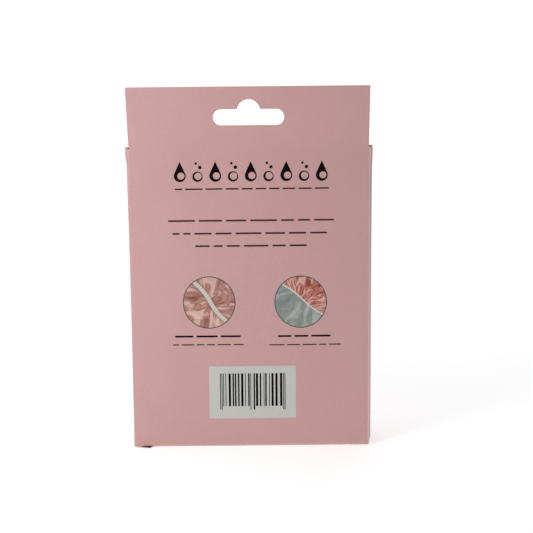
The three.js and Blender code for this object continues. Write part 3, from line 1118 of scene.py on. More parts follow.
def new_tree(name, sizes):
    """A Geometry Nodes tree with named inputs, and the sockets that bring them in."""
    tree = bpy.data.node_groups.new(name, "GeometryNodeTree")
    for label, kind in [("Geometry", "Geometry"), *sizes]:
        tree.interface.new_socket(label, in_out="INPUT", socket_type=f"NodeSocket{kind}")
    tree.interface.new_socket("Geometry", in_out="OUTPUT", socket_type="NodeSocketGeometry")
    return tree, add(tree, "NodeGroupInput").outputs


def make_marks_tree():
    """An oblong on every point, with round corners, filled and raised."""
    sizes = [("Corner radius", "Float"), ("Film height", "Float"), ("Ink", "Material")]
    tree, entry = new_tree("printed_marks", sizes)
    size = add(tree, "GeometryNodeInputNamedAttribute", {"Name": "mark_size"}, data_type="FLOAT_VECTOR")
    oblong = add(tree, "GeometryNodeCurvePrimitiveQuadrilateral", {"Width": 1.0, "Height": 1.0})
    spots = {"Points": entry["Geometry"], "Instance": oblong, "Scale": size}
    marks = add(tree, "GeometryNodeInstanceOnPoints", spots)
    loose = add(tree, "GeometryNodeRealizeInstances", {"Geometry": marks})
    corners = {"Count": corner_points, "Radius": entry["Corner radius"], "Limit Radius": True}
    rounded = add(tree, "GeometryNodeFilletCurve", {"Curve": loose, **corners}, mode="POLY")
    filled = add(tree, "GeometryNodeFillCurve", {"Curve": rounded}, mode="NGONS")
    lift = {"Mesh": filled, "Offset Scale": entry["Film height"], "Individual": False}
    raised = add(tree, "GeometryNodeExtrudeMesh", lift)
    under = add(tree, "GeometryNodeFlipFaces", {"Mesh": filled})
    both = add(tree, "GeometryNodeJoinGeometry", {"Geometry": raised})
    feed(tree, both, {"Geometry": under})
    closed = add(tree, "GeometryNodeMergeByDistance", {"Geometry": both, "Distance": weld_distance})
    real = add(tree, "GeometryNodeRealizeInstances", {"Geometry": closed})
    inked = add(tree, "GeometryNodeSetMaterial", {"Geometry": real, "Material": entry["Ink"]})
    add(tree, "NodeGroupOutput", {"Geometry": inked})
    return tree


marks_tree = make_marks_tree()
print(f"{marks_tree.name}: {len(marks_tree.nodes)} nodes")

# %% Marks grown on points


def plain_mesh(obj):
    """What an object's modifiers make of it, as a mesh of its own."""
    graph = bpy.context.evaluated_depsgraph_get()
    return bpy.data.meshes.new_from_object(obj.evaluated_get(graph), depsgraph=graph)


def grow(name, tree, points, edges, attributes, inputs):
    """Run a tree over points and return what it made as points and faces."""
    mesh = bpy.data.meshes.new(name)
    mesh.from_pydata(np.asarray(points, float).tolist(), edges, [])
    for label, values in attributes.items():
        layer = mesh.attributes.new(label, "FLOAT_VECTOR", "POINT")
        layer.data.foreach_set("vector", np.asarray(values, np.float32).ravel())
    seed = bpy.data.objects.new(name, mesh)
    bpy.context.scene.collection.objects.link(seed)
    modifier = seed.modifiers.new("grow", "NODES")
    modifier.node_group = tree
    for item in tree.interface.items_tree:
        if item.in_out == "INPUT" and item.name in inputs:
            modifier[item.identifier] = inputs[item.name]
    grown = plain_mesh(seed)
    made_points = np.array([vertex.co for vertex in grown.vertices])
    made_faces = [tuple(face.vertices) for face in grown.polygons]
    seed.modifiers.remove(modifier)
    for block, store in ((seed, bpy.data.objects), (grown, bpy.data.meshes), (mesh, bpy.data.meshes)):
        store.remove(block)
    return made_points, made_faces


def print_marks(name, marks, ink, corner, height_out=ink_height):
    """Marks as (middle x, middle z, width, height), laid on the back as one film."""
    marks = np.array(marks)
    places = np.column_stack([marks[:, :2], np.zeros(len(marks))])
    sizes = np.column_stack([marks[:, 2:], np.ones(len(marks))])
    inputs = {"Corner radius": corner, "Film height": ink_root + height_out, "Ink": ink}
    points, faces = grow(name, marks_tree, places, [], {"mark_size": sizes}, inputs)
    laid = on_back(points[:, 0], points[:, 1], points[:, 2] - ink_root)
    ink_film(name, laid, faces, ink, points[:, :2])


# %% Rows of rules
rule_draws = np.random.default_rng(7)
rule_corner = 0.5

# Each row of rules: left, right, low, high, thickness, shortest, longest and gap.
bold_rows = [
    (-34.9, -4.5, 50.75, 53.6, 0.85, 4.5, 8.5, 1.3),
    (12.6, 37.0, 50.45, 53.6, 0.85, 6.0, 11.0, 1.3),
    (-33.8, 36.2, 118.0, 121.5, 0.62, 3.5, 9.5, 1.3),
]
light_rows = [
    (-37.2, 38.5, 103.6, 107.2, 0.8, 4.5, 13.0, 1.7),
    (-35.3, 35.3, 97.8, 101.3, 0.8, 3.0, 13.0, 1.7),
    (-24.9, 26.1, 92.2, 95.5, 0.8, 4.0, 14.0, 1.7),
    (-35.9, -3.2, 46.9, 49.7, 0.55, 3.0, 7.0, 1.1),
    (8.6, 41.6, 46.6, 49.4, 0.55, 3.0, 8.0, 1.1),
]


def ruled_row(left, right, low, high, thickness, shortest, longest, gap):
    """Rules of uneven length from left to right, with small gaps."""
    lengths = []
    while sum(lengths) + gap * len(lengths) < right - left - shortest:
        lengths.append(rule_draws.uniform(shortest, longest))
    lengths = np.array(lengths) * (right - left - gap * (len(lengths) - 1)) / sum(lengths)
    starts = left + np.cumsum(np.concatenate([[0], lengths[:-1] + gap]))
    middle = (low + high) / 2
    return [(start + size / 2, middle, size, thickness) for start, size in zip(starts, lengths)]


for name, rows, ink in (("bold_rules", bold_rows, headline_ink), ("light_rules", light_rows, rule_ink)):
    print_marks(name, [rule for row in rows for rule in ruled_row(*row)], ink, rule_corner)

# %% White panel with bars
panel_low, panel_high = (-19.4, 13.4), (20.75, 38.1)
panel_corner, panel_height = 0.3, 0.02
bars_left, bars_right = -14.4, 15.9
bars_low, bars_high, long_low = 19.2, 34.7, 17.5
inner_bars, widest_bar = 19, 3
bar_share, bar_corner, bar_height = 0.95, 0.01, 0.07


def panel_outline():
    """The panel with hardly rounded corners."""
    (x0, z0), (x1, z1) = panel_low, panel_high
    c = panel_corner
    loop = arc(x1 - c, z1 - c, c, 0, 90, 3) + arc(x0 + c, z1 - c, c, 90, 180, 3)
    return loop + arc(x0 + c, z0 + c, c, 180, 270, 3) + arc(x1 - c, z0 + c, c, 270, 360, 3)


def bar_marks():
    """Bars of one to three parts and gaps of one to three parts, with longer bars at ends and middle."""
    parts = np.random.default_rng(11)
    widths = [1, 1, *parts.integers(1, widest_bar + 1, inner_bars), 1, 1]
    last = len(widths) - 1
    gaps = [1, 1, *parts.integers(1, widest_bar + 1, last - 4), 1, 1, 0]
    unit = (bars_right - bars_left) / (sum(widths) + sum(gaps))
    long_bars = {0, 1, last // 2, last // 2 + 1, last - 1, last}
    marks, x = [], bars_left
    for index, (width, gap) in enumerate(zip(widths, gaps)):
        low = long_low if index in long_bars else bars_low
        marks.append((x + width * unit / 2, (low + bars_high) / 2, bar_share * width * unit, bars_high - low))
        x += (width + gap) * unit
    return marks


print_film("bar_panel", [[panel_outline()]], panel_ink, panel_height)
print_marks("panel_bars", bar_marks(), headline_ink, bar_corner, bar_height)

# %% [markdown]
# ## Round pictures
# Each picture is a disc of ink with a slate rim. A drawn image could fill it, but nodes stay sharp and need
# no file. What it shows is painted from the film's flat coordinates, turned so that X runs along a seam and
# Y away from it. Gathered cloth is streaks of noise that are narrow at the seam and spread with the distance
# from it, with a dark vein where two folds meet.

# %% Gathered cloth in a picture
sway_rate = 0.3
streak_length = 0.2
vein_level, vein_width, vein_strength = 0.5, 0.025, 0.85


def picture_nodes(name, centre, turn, seam_shift, sway):
    """A picture's material, and its place along and away from a swaying seam, in millimetres."""
    material, tree, bsdf = new_material(name, Roughness=0.5, IOR=1.48)
    flat = add(tree, "ShaderNodeUVMap", uv_map="flat")
    scaled = add(tree, "ShaderNodeVectorMath", {0: flat, "Scale": METRE}, operation="SCALE")
    about = {"Vector": scaled, "Center": (*centre, 0.0), "Angle": math.radians(turn)}
    turned = add(tree, "ShaderNodeVectorRotate", about, rotation_type="Z_AXIS")
    middle = (-centre[0], -centre[1] - seam_shift, 0.0)
    local = add(tree, "ShaderNodeVectorMath", {0: turned, 1: middle}, operation="ADD")
    axes = add(tree, "ShaderNodeSeparateXYZ", {"Vector": local}).outputs
    phase = add(tree, "ShaderNodeMath", {0: axes["X"], 1: sway_rate}, operation="MULTIPLY")
    wave = add(tree, "ShaderNodeMath", {0: phase}, operation="SINE")
    away = add(tree, "ShaderNodeMath", {0: wave, 1: sway, 2: axes["Y"]}, operation="MULTIPLY_ADD")
    return material, tree, bsdf, axes["X"], away


def gathered(tree, along, away, spread, fineness, wildness, stops, vein):
    """Colour of cloth gathered on a seam: streaks that spread from it, with veins between the folds."""
    distance = add(tree, "ShaderNodeMath", {0: away}, operation="ABSOLUTE")
    widen = add(tree, "ShaderNodeMath", {0: distance, 1: spread, 2: 1.0}, operation="MULTIPLY_ADD")
    squeezed = add(tree, "ShaderNodeMath", {0: along, 1: widen}, operation="DIVIDE")
    stretched = add(tree, "ShaderNodeMath", {0: away, 1: streak_length}, operation="MULTIPLY")
    place = add(tree, "ShaderNodeCombineXYZ", {"X": squeezed, "Y": stretched})
    streaks = {"Vector": place, "Scale": fineness, "Detail": 4.0, "Distortion": wildness}
    folds = add(tree, "ShaderNodeTexNoise", streaks)
    cloth = add(tree, "ShaderNodeValToRGB", {"Fac": folds}, stops)
    level = add(tree, "ShaderNodeMath", {0: folds, 1: vein_level}, operation="SUBTRACT")
    meeting = add(tree, "ShaderNodeMath", {0: level}, operation="ABSOLUTE")
    narrow = {"From Min": vein_width, "From Max": 0.0, "To Max": vein_strength}
    line = add(tree, "ShaderNodeMapRange", {"Value": meeting, **narrow})
    return add(tree, "ShaderNodeMix", {"Factor": line, "A": cloth, "B": linear(vein)}, data_type="RGBA")


# %% Picture of the elastic
left_picture = (-18.9, 67.9)
band_half, band_blur = 0.8, 1.0
shadow_far, shadow_near, shadow_depth = 2.4, 0.9, 0.55
rib_rate = 5.0


def make_band_picture(centre):
    """White elastic across coral satin, which is gathered on both sides of it."""
    name = "printed_picture_of_elastic"
    material, tree, bsdf, along, away = picture_nodes(name, centre, turn=52.0, seam_shift=0.6, sway=0.5)
    coral = [(0.3, "#753c31"), (0.42, "#9f6d60"), (0.51, "#bb9185"), (0.6, "#cba89b"), (0.72, "#dbc3ba")]
    satin_ink = gathered(tree, along, away, 0.26, 0.5, 1.1, coral, "#8f3a2b")
    ribs = add(tree, "ShaderNodeMath", {0: along, 1: rib_rate}, operation="MULTIPLY")
    ripple = add(tree, "ShaderNodeMath", {0: ribs}, operation="SINE")
    elastic_ink = add(tree, "ShaderNodeValToRGB", {"Fac": ripple}, [(0.0, "#c9c8c2"), (1.0, "#b1b0aa")])
    distance = add(tree, "ShaderNodeMath", {0: away}, operation="ABSOLUTE")
    beside = {"Value": distance, "From Min": shadow_far, "From Max": shadow_near, "To Max": shadow_depth}
    shadow = add(tree, "ShaderNodeMapRange", beside)
    shade = {"Factor": shadow, "A": satin_ink, "B": linear("#86402f")}
    tucked = add(tree, "ShaderNodeMix", shade, data_type="RGBA")
    band = {"Value": distance, "From Min": band_blur, "From Max": band_half}
    on_band = add(tree, "ShaderNodeMapRange", band)
    layers = {"Factor": on_band, "A": tucked, "B": elastic_ink}
    picture = add(tree, "ShaderNodeMix", layers, data_type="RGBA")
    feed(tree, bsdf, {"Base Color": picture})
    return material


band_picture = make_band_picture(left_picture)
print("left:", band_picture.name)

# %% Picture of the lining
right_picture = (23.15, 67.9)
seam_half, seam_blur = 0.25, 0.4
edge_half = 0.1


def make_frill_picture(centre):
    """A coral frill on one side of a white seam and the slate lining on the other."""
    name = "printed_picture_of_lining"
    material, tree, bsdf, along, away = picture_nodes(name, centre, turn=38.0, seam_shift=1.4, sway=0.4)
    coral = [(0.32, "#7c3025"), (0.42, "#a24f3f"), (0.5, "#c88c7f"), (0.6, "#d6aea4"), (0.72, "#b06a5a")]
    frill_ink = gathered(tree, along, away, 0.2, 0.6, 2.2, coral, "#7d281c")
    slate = [(0.3, "#6c7772"), (0.45, "#838c87"), (0.55, "#939b96"), (0.7, "#a9aeaa")]
    lining_ink = gathered(tree, along, away, 0.16, 0.45, 0.4, slate, "#7f7672")
    over = add(tree, "ShaderNodeMapRange", {"Value": away, "From Min": -edge_half, "From Max": edge_half})
    sides = {"Factor": over, "A": lining_ink, "B": frill_ink}
    cloth = add(tree, "ShaderNodeMix", sides, data_type="RGBA")
    distance = add(tree, "ShaderNodeMath", {0: away}, operation="ABSOLUTE")
    seam = {"Value": distance, "From Min": seam_blur, "From Max": seam_half}
    on_seam = add(tree, "ShaderNodeMapRange", seam)
    layers = {"Factor": on_seam, "A": cloth, "B": linear("#cbc8c3")}
    picture = add(tree, "ShaderNodeMix", layers, data_type="RGBA")
    feed(tree, bsdf, {"Base Color": picture})
    return material


frill_picture = make_frill_picture(right_picture)
print("right:", frill_picture.name)

# %% Round pictures and their rims
picture_radius = 12.1
rim_width = 0.45
inner_radius = picture_radius - rim_width

print_film("left_picture", [[circle(left_picture, inner_radius)]], band_picture)
print_film("right_picture", [[circle(right_picture, inner_radius)]], frill_picture)
rims = [[circle(c, picture_radius), circle(c, inner_radius)] for c in (left_picture, right_picture)]
print_film("picture_rims", rims, rim_ink)

# %% [markdown]
# ## Satin
# The cap's outside is polyester satin, printed with a soft marbled wash. Long floating threads make satin
# shine in a broad, silky way, so its roughness is low for a cloth and a little sheen lights its edges. The
# wash is distorted noise on the cloth's flat coordinates, so that it folds with the cloth.

# %% Satin
# At a scale of 1 a wave texture turns through 20 radians a metre.
RADIANS = 20


def make_satin():
    """Printed polyester satin: silky, with a soft marbled wash of coral and cream, and fine ridges."""
    # Real threads lie 0.1 mm apart, too fine to show. These ridges take 0.5 mm a radian, so they lie 3.1 mm
    # apart and show as a faint weave.
    wash_size, ridge_radian, thread_depth = 30, 0.5, 0.05
    shine = {"Roughness": 0.36, "IOR": 1.5, "Sheen_Weight": 0.25, "Sheen_Roughness": 0.4}
    material, tree, bsdf = new_material("printed_polyester_satin", **shine)
    flat = add(tree, "ShaderNodeUVMap", uv_map="flat")
    marbling = {"Vector": flat, "Scale": METRE / wash_size, "Detail": 4.0, "Distortion": 1.8}
    wash = add(tree, "ShaderNodeTexNoise", marbling)
    coral = [(0.3, "#cf8177"), (0.44, "#e2a89d"), (0.56, "#f0cfc6"), (0.68, "#f7e9e2")]
    tone = add(tree, "ShaderNodeValToRGB", {"Fac": wash}, coral)
    weft = {"Vector": flat, "Scale": METRE / ridge_radian / RADIANS, "Distortion": 0.6}
    ridges = add(tree, "ShaderNodeTexWave", weft, bands_direction="Y").outputs["Fac"]
    relief = {"Height": ridges, "Strength": 0.12, "Distance": thread_depth / METRE}
    weave = add(tree, "ShaderNodeBump", relief)
    feed(tree, bsdf, {"Base Color": tone, "Normal": weave})
    return material


satin = make_satin()
print("outer cloth:", satin.name)

# %% [markdown]
# ## Lining, elastic and thread
# The lining is a milky film, embossed so that it doesn't cling, and it takes small soft creases. The elastic
# is knitted, so it is matt and ribbed. Sewing thread is spun and twisted, so it is dull and its tone changes.
# Each pattern is one texture, used twice: once for colour, and once for relief where a finger would feel it.

# %% Lining, elastic and thread


def make_lining_film():
    """Embossed waterproof film: milky, slightly glossy, with small soft creases."""
    crease_size, dent_depth = 8, 0.3
    material, tree, bsdf = new_material("embossed_lining_film", Roughness=0.32, IOR=1.5)
    flat = add(tree, "ShaderNodeUVMap", uv_map="flat")
    crumple = {"Vector": flat, "Scale": METRE / crease_size, "Detail": 5.0, "Distortion": 0.7}
    crease = add(tree, "ShaderNodeTexNoise", crumple)
    tone = add(tree, "ShaderNodeValToRGB", {"Fac": crease}, [(0.3, "#cdd4d2"), (0.7, "#e8ecea")])
    dent = add(tree, "ShaderNodeBump", {"Height": crease, "Strength": 0.35, "Distance": dent_depth / METRE})
    feed(tree, bsdf, {"Base Color": tone, "Normal": dent})
    return material


def make_elastic():
    """Knitted elastic: matt white, with ribs along the band."""
    # Real ribs lie about 0.9 mm apart, too fine to show. These take 0.9 mm a radian and lie 5.7 mm apart.
    rib_radian, rib_depth = 0.9, 0.15
    material, tree, bsdf = new_material("knitted_white_elastic", Roughness=0.82, IOR=1.45, Sheen_Weight=0.3)
    flat = add(tree, "ShaderNodeUVMap", uv_map="flat")
    knit = {"Vector": flat, "Scale": METRE / rib_radian / RADIANS}
    ribs = add(tree, "ShaderNodeTexWave", knit, bands_direction="Y").outputs["Fac"]
    tone = add(tree, "ShaderNodeValToRGB", {"Fac": ribs}, [(0.1, "#cfcac5"), (0.6, "#f3f0ec")])
    raised = add(tree, "ShaderNodeBump", {"Height": ribs, "Strength": 0.5, "Distance": rib_depth / METRE})
    feed(tree, bsdf, {"Base Color": tone, "Normal": raised})
    return material


def make_thread():
    """Spun polyester thread: pale, dull, with a slow change of tone."""
    # A real twist repeats every 0.4 mm, too fine to show. A diagonal wave turns half as fast as a straight
    # one, so the tone repeats every 5 mm, and one stitch differs from the next.
    twist_radian = 0.4
    material, tree, bsdf = new_material("spun_polyester_thread", Roughness=0.7, IOR=1.5, Sheen_Weight=0.2)
    place = add(tree, "ShaderNodeTexCoord").outputs["Object"]
    strands = {"Vector": place, "Scale": METRE / twist_radian / RADIANS}
    twist = add(tree, "ShaderNodeTexWave", strands, bands_direction="DIAGONAL").outputs["Fac"]
    tone = add(tree, "ShaderNodeValToRGB", {"Fac": twist}, [(0.2, "#d9a59c"), (0.8, "#f0d4cc")])
    feed(tree, bsdf, {"Base Color": tone})
    return material


lining_film, elastic_knit, thread = make_lining_film(), make_elastic(), make_thread()
print("inner cloth:", ", ".join(cloth.name for cloth in (lining_film, elastic_knit, thread)))

# %% [markdown]
# ## The folded cap
# The cap is a pouch of satin with a waterproof lining, gathered by an elastic and ending in a frill. It is
# packed folded to and fro in three leaves, mouth up. Cloth simulation could drop it into the carton, but the
# result would change with every edit. Here the fold is a path of three straights and two half turns, and the
# pouch is a ring round that path, stacked from the crown to the mouth. Gathers are waves along the ring that
# grow towards the elastic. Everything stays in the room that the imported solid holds.

# %% Path of the fold
leaf_gap = 0.6
mouth_draw = 4.0
gather_height = 26.0
shell_low, shell_high = node_box("cap_outer_shell")
elastic_low, elastic_high = node_box("cap_elastic_band")
frill_top = node_box("cap_frill")[1][2]
cap_floor, seam_height = shell_low[2], shell_high[2]
gather_start = seam_height - gather_height
leaf_pitch = (shell_high[1] + leaf_gap / 2) / 1.5
leaf_half = (leaf_pitch - leaf_gap) / 2
leaf_reach = shell_high[0] - leaf_pitch / 2 - leaf_half
turn_radius = leaf_pitch / 2


def reach_at(z):
    """Leaves get shorter towards the mouth, where the elastic gathers them."""
    return leaf_reach - mouth_draw * smooth(z, gather_start, seam_height)


def fold_path(share, reach):
    """Points and directions along the fold: leaf, half turn, leaf, half turn, leaf."""
    leaf, turn = 2 * reach, math.pi * turn_radius
    run = np.asarray(share) * (3 * leaf + 2 * turn)
    stops = np.cumsum([leaf, turn, leaf, turn])
    which = np.searchsorted(stops, run, side="right")
    along = run - np.concatenate([[0], stops])[which]
    angle = along / turn_radius
    sine, cosine, one, none = np.sin(angle), np.cos(angle), np.ones_like(run), np.zeros_like(run)
    x = [along - reach, reach + turn_radius * sine, reach - along, -reach - turn_radius * sine, along - reach]
    y = [-leaf_pitch * one, -turn_radius * (1 + cosine), none, turn_radius * (1 - cosine), leaf_pitch * one]
    way_x = [one, cosine, -one, -cosine, one]
    way_y = [none, sine, none, sine, none]
    pick = [np.choose(which, group) for group in (x, y, way_x, way_y)]
    return np.stack(pick[:2], axis=1), np.stack(pick[2:], axis=1)


print(f"leaves {2 * leaf_reach:.1f} mm long, {leaf_pitch:.2f} mm apart")

# %% Ring round the fold


def fold_ring(count, reach, ends=10):
    """Once round the fold: places on the path, outward directions and distance along the ring."""
    shares = np.linspace(0, 1, count)
    places, ways = fold_path(shares, reach)
    left = np.stack([-ways[:, 1], ways[:, 0]], axis=1)
    angles = np.linspace(-math.pi / 2, math.pi / 2, ends + 1)[1:-1]
    far = [ways[-1] * math.cos(a) + left[-1] * math.sin(a) for a in angles]
    near = [-ways[0] * math.cos(a) - left[0] * math.sin(a) for a in angles]
    spots = np.concatenate([places, [places[-1]] * len(far), places[::-1], [places[0]] * len(near)])
    outward = np.concatenate([-left, far, left[::-1], near])
    length = 3 * 2 * reach + 2 * math.pi * turn_radius
    turn = math.pi * leaf_half
    rounding = turn * (np.arange(len(angles)) + 1) / (len(angles) + 1)
    run = [shares * length, length + rounding, length + turn + shares * length, 2 * length + turn + rounding]
    return spots, outward, np.concatenate(run)


ring_length = fold_ring(4, float(reach_at(np.array(seam_height))))[2][-1]
print(f"mouth {ring_length:.0f} mm round")

# %% Cloth over the fold
leaf_sway, sway_length, sway_climb, sway_start = 0.35, 19, 37, 20
weld_gap = 0.002


def cloth_rows(rows, count):
    """Rings from (height, offset function), each point on the fold's path plus its offset."""
    made, flat = [], []
    for z, offset in rows:
        spots, outward, run = fold_ring(count, float(reach_at(np.array(z))))
        ring = spots + outward * offset(run)[:, None]
        free = smooth(np.array(z), cap_floor, cap_floor + sway_start)
        sway = leaf_sway * np.sin(ring[:, 0] / sway_length + z / sway_climb) * free
        made.append(np.column_stack([ring[:, 0], ring[:, 1] + sway, np.full_like(run, z)]))
        flat.append(np.column_stack([run, np.full_like(run, z)]))
    return made, flat


def cloth_object(name, rows, count, material, ring_closed):
    """Skin over stacked rings; the last ring joins the first where the cloth is a band."""
    made, flat = cloth_rows(rows, count)
    count = len(made[0])
    bands = len(made) if ring_closed else len(made) - 1
    faces = []
    for k in range(bands):
        low, high = k * count, ((k + 1) % len(made)) * count
        faces += [(low + j, low + (j + 1) % count, high + (j + 1) % count, high + j) for j in range(count)]
    obj = make_object(name, np.concatenate(made), faces, [material], uv=np.concatenate(flat))
    weld = obj.modifiers.new("weld", "WELD")
    weld.merge_threshold = weld_gap / METRE
    welded = plain_mesh(obj)
    obj.modifiers.remove(weld)
    obj.data = welded
    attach(obj, "cap")
    print(f"{name}: {len(welded.polygons)} faces")
    return obj


print(f"leaves sway by {leaf_sway} mm")

# %% Shape of the pouch
crown_round = 5.0
gather_depth = 0.55
gather_spacing = 4.6
gather_drift, drift_length = 0.9, 17
wrinkle_depth = 0.3
wrinkles = ((7, 31), (41, 23))
mouth_pull, pull_height = 0.65, 10
crown_rows, leaf_rows, gather_rows = 8, 16, 18
leaf_start, gather_step = 9, 1.5


def shell_offset(z, floor, inset):
    """Half the thickness of a leaf at a height, with wrinkles, and gathers that grow to the mouth."""
    rise = np.clip((z - floor) / crown_round, 0, 1)
    crown = math.sqrt(1 - (1 - rise) ** 2)
    gather = gather_depth * smooth(np.array(z), gather_start, seam_height)
    pull = mouth_pull * smooth(np.array(z), seam_height - pull_height, seam_height)

    def offset(run):
        short, long = (np.sin(run / length + z / climb) for length, climb in wrinkles)
        soft = short * long
        drift = gather_drift * np.sin(run / drift_length)
        wave = np.cos(2 * math.pi * run / gather_spacing + drift)
        depth = wrinkle_depth * (0.5 + 0.5 * soft) + gather * (0.5 + 0.5 * wave) + pull
        return np.maximum((leaf_half - inset - depth) * crown, 0)

    return offset


def pouch_heights(floor):
    """Heights of the rings: close in the round crown, wide on the leaves, close in the gathers."""
    crown = floor + crown_round * (1 - np.cos(np.linspace(0, math.pi / 2, crown_rows)))
    leaves = np.linspace(floor + leaf_start, gather_start, leaf_rows)
    return np.concatenate([crown, leaves, np.linspace(gather_start + gather_step, seam_height, gather_rows)])


def make_pouch(name, node, inset, wall, material, count):
    """A pouch of one cloth: up the outside to the mouth, down the inside to the crown."""
    floor = cap_floor + inset
    outer = [(z, shell_offset(z, floor, inset)) for z in pouch_heights(floor)]
    inner = [(z, shell_offset(z, floor + wall, inset + wall)) for z in pouch_heights(floor + wall)[::-1]]
    pouch = cloth_object(name, outer + inner, count, material, ring_closed=False)
    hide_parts(node)
    return pouch


print(f"a pouch has {len(pouch_heights(cap_floor))} rings from crown to mouth")

# %% Satin shell and lining
satin_wall, lining_wall = 0.3, 0.15
lining_inset = 0.7
shell_points, lining_points = 240, 180

shell = make_pouch("cap_satin_shell", "cap_outer_shell", 0.0, satin_wall, satin, shell_points)
lining = make_pouch(
    "cap_film_lining", "cap_lining", lining_inset, lining_wall, lining_film, lining_points
)

# %% Elastic band
elastic_out = 1.2
elastic_wall = 0.6
elastic_wave = 0.08
band_points = 200


def band_offset(out):
    """The band's face, pressed into shallow waves by the gathers."""
    return lambda run: out - elastic_wave * (0.5 + 0.5 * np.cos(2 * math.pi * run / gather_spacing))


band_heights = np.linspace(elastic_low[2], elastic_high[2], 5)
band_rows = [(z, band_offset(elastic_out)) for z in band_heights]
band_rows += [(z, band_offset(elastic_out - elastic_wall)) for z in band_heights[::-1]]
elastic_band = cloth_object("cap_elastic", band_rows, band_points, elastic_knit, ring_closed=True)
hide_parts("cap_elastic_band")

# %% Frill
frill_waves = 31
frill_swing, swing_start = 0.85, -0.2
frill_main, frill_ripple, ripple_rate = 0.85, 0.15, 2.3
frill_drift, frill_drift_length = 0.7, 13
frill_out = 2.97
frill_wall = 0.28
frill_points = 380
frill_steps, hem_steps = 8, 6
hem_height, hem_swell, hem_step = 1.4, 0.16, 0.1
hem_low = frill_top - hem_height


def frill_offset(z, out):
    """The frill swings more and more towards its free edge."""
    share = (z - seam_height) / (frill_top - seam_height)
    swing_out = frill_swing * smooth(np.array(share), swing_start, 1.0)

    def offset(run):
        phase = 2 * math.pi * 2 * frill_waves * run / ring_length
        main = frill_main * np.sin(phase + frill_drift * np.sin(run / frill_drift_length))
        return out + swing_out * (main + frill_ripple * np.sin(ripple_rate * phase))

    return offset


def frill_rows():
    """Up the outside and down the inside, a little thicker in the rolled hem."""
    flat_part = np.linspace(seam_height, hem_low, frill_steps)
    hem_part = np.linspace(hem_low + hem_step, frill_top, hem_steps)
    rows = [(z, hem_swell * (z > hem_low)) for z in np.concatenate([flat_part, hem_part])]
    outer = [(z, frill_offset(z, frill_out + hem)) for z, hem in rows]
    inner = [(z, frill_offset(z, frill_out - frill_wall - hem)) for z, hem in rows[::-1]]
    return outer + inner


frill = cloth_object("cap_satin_frill", frill_rows(), frill_points, satin, ring_closed=True)
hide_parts("cap_frill")

# %% [markdown]
# ## Stitches
# Two rows of stitches hold the elastic, and one closes the frill's hem. A bump in the satin could hint at
# them, but they stand up from the cloth and throw small shadows. A stitch is a short bead of thread that
# lies along its seam, so a Geometry Nodes tree walks the seam at the stitch length and puts one bead, turned
# to the seam's direction, on every step.

# %% Geometry Nodes tree for stitches


def make_stitch_tree():
    """A bead of thread on every step along a seam."""
    lengths = [(label, "Float") for label in ("Stitch spacing", "Stitch length", "Thread radius")]
    tree, entry = new_tree("stitch_row", [*lengths, ("Thread", "Material")])
    seam = add(tree, "GeometryNodeMeshToCurve", {"Mesh": entry["Geometry"]})
    pace = {"Curve": seam, "Length": entry["Stitch spacing"]}
    steps = add(tree, "GeometryNodeCurveToPoints", pace, mode="LENGTH").outputs
    turned = add(tree, "FunctionNodeAlignRotationToVector", {"Vector": steps["Tangent"]}, axis="Z")
    bead = add(tree, "GeometryNodeMeshUVSphere", {"Segments": 6, "Rings": 4, "Radius": 1.0})
    half = add(tree, "ShaderNodeMath", {0: entry["Stitch length"], 1: 0.5}, operation="MULTIPLY")
    radius = entry["Thread radius"]
    size = add(tree, "ShaderNodeCombineXYZ", {"X": radius, "Y": radius, "Z": half})
    spots = {"Points": steps["Points"], "Instance": bead, "Rotation": turned, "Scale": size}
    beads = add(tree, "GeometryNodeInstanceOnPoints", spots)
    real = add(tree, "GeometryNodeRealizeInstances", {"Geometry": beads})
    sewn = add(tree, "GeometryNodeSetMaterial", {"Geometry": real, "Material": entry["Thread"]})
    add(tree, "NodeGroupOutput", {"Geometry": sewn})
    return tree


stitch_tree = make_stitch_tree()
print(f"{stitch_tree.name}: {len(stitch_tree.nodes)} nodes")

# %% Stitch rows round the mouth
stitch_sizes = {"Stitch spacing": 2.6, "Stitch length": 1.9, "Thread radius": 0.16}
stitch_sink, stitch_rise = 0.05, 0.03
seam_inset, hem_inset = 1.0, 0.1


def sew(name, rows, count):
    """Stitches along rings of the cloth, as one piece."""
    made, _ = cloth_rows(rows, count)
    edges = []
    for k, ring in enumerate(made):
        first = k * len(ring)
        edges += [(first + j, first + (j + 1) % len(ring)) for j in range(len(ring))]
    inputs = {**stitch_sizes, "Thread": thread}
    beads, faces = grow(name, stitch_tree, np.concatenate(made), edges, {}, inputs)
    stitches = make_object(name, beads, faces, [thread])
    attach(stitches, "cap")
    print(f"{name}: {len(faces)} faces")
    return stitches


elastic_seams = [elastic_low[2] + seam_inset, elastic_high[2] - seam_inset]
seam_rows = [(z, shell_offset(z, cap_floor, -stitch_sink)) for z in elastic_seams]
elastic_stitches = sew("elastic_stitches", seam_rows, shell_points)
hem_z = hem_low - hem_inset
hem_stitches = sew("hem_stitches", [(hem_z, frill_offset(hem_z, frill_out + stitch_rise))], frill_points)

# %% [markdown]
# ## What the cloths were cut to
# A cap is cut from discs of cloth and film, and the frill and the elastic from strips. The frame keeps each
# flat size.

# %% [markdown]
# ## Studio
# Plain light suits packaging: a bright even sweep behind and below, a large soft light from the left of the
# camera and a weaker one on the right. A flat white world would do for the backdrop, but then nothing would
# ground the carton. The sweep glows, and glows less on the camera's side, so that it doesn't wash out the
# print.

# %% Glow of the sweep
camera_glow, near_glow, far_glow = 0.16, 0.5, 0.7
glow_depth = 1.5
camera_far, camera_near, camera_spread = -1.2, -0.5, -2.5


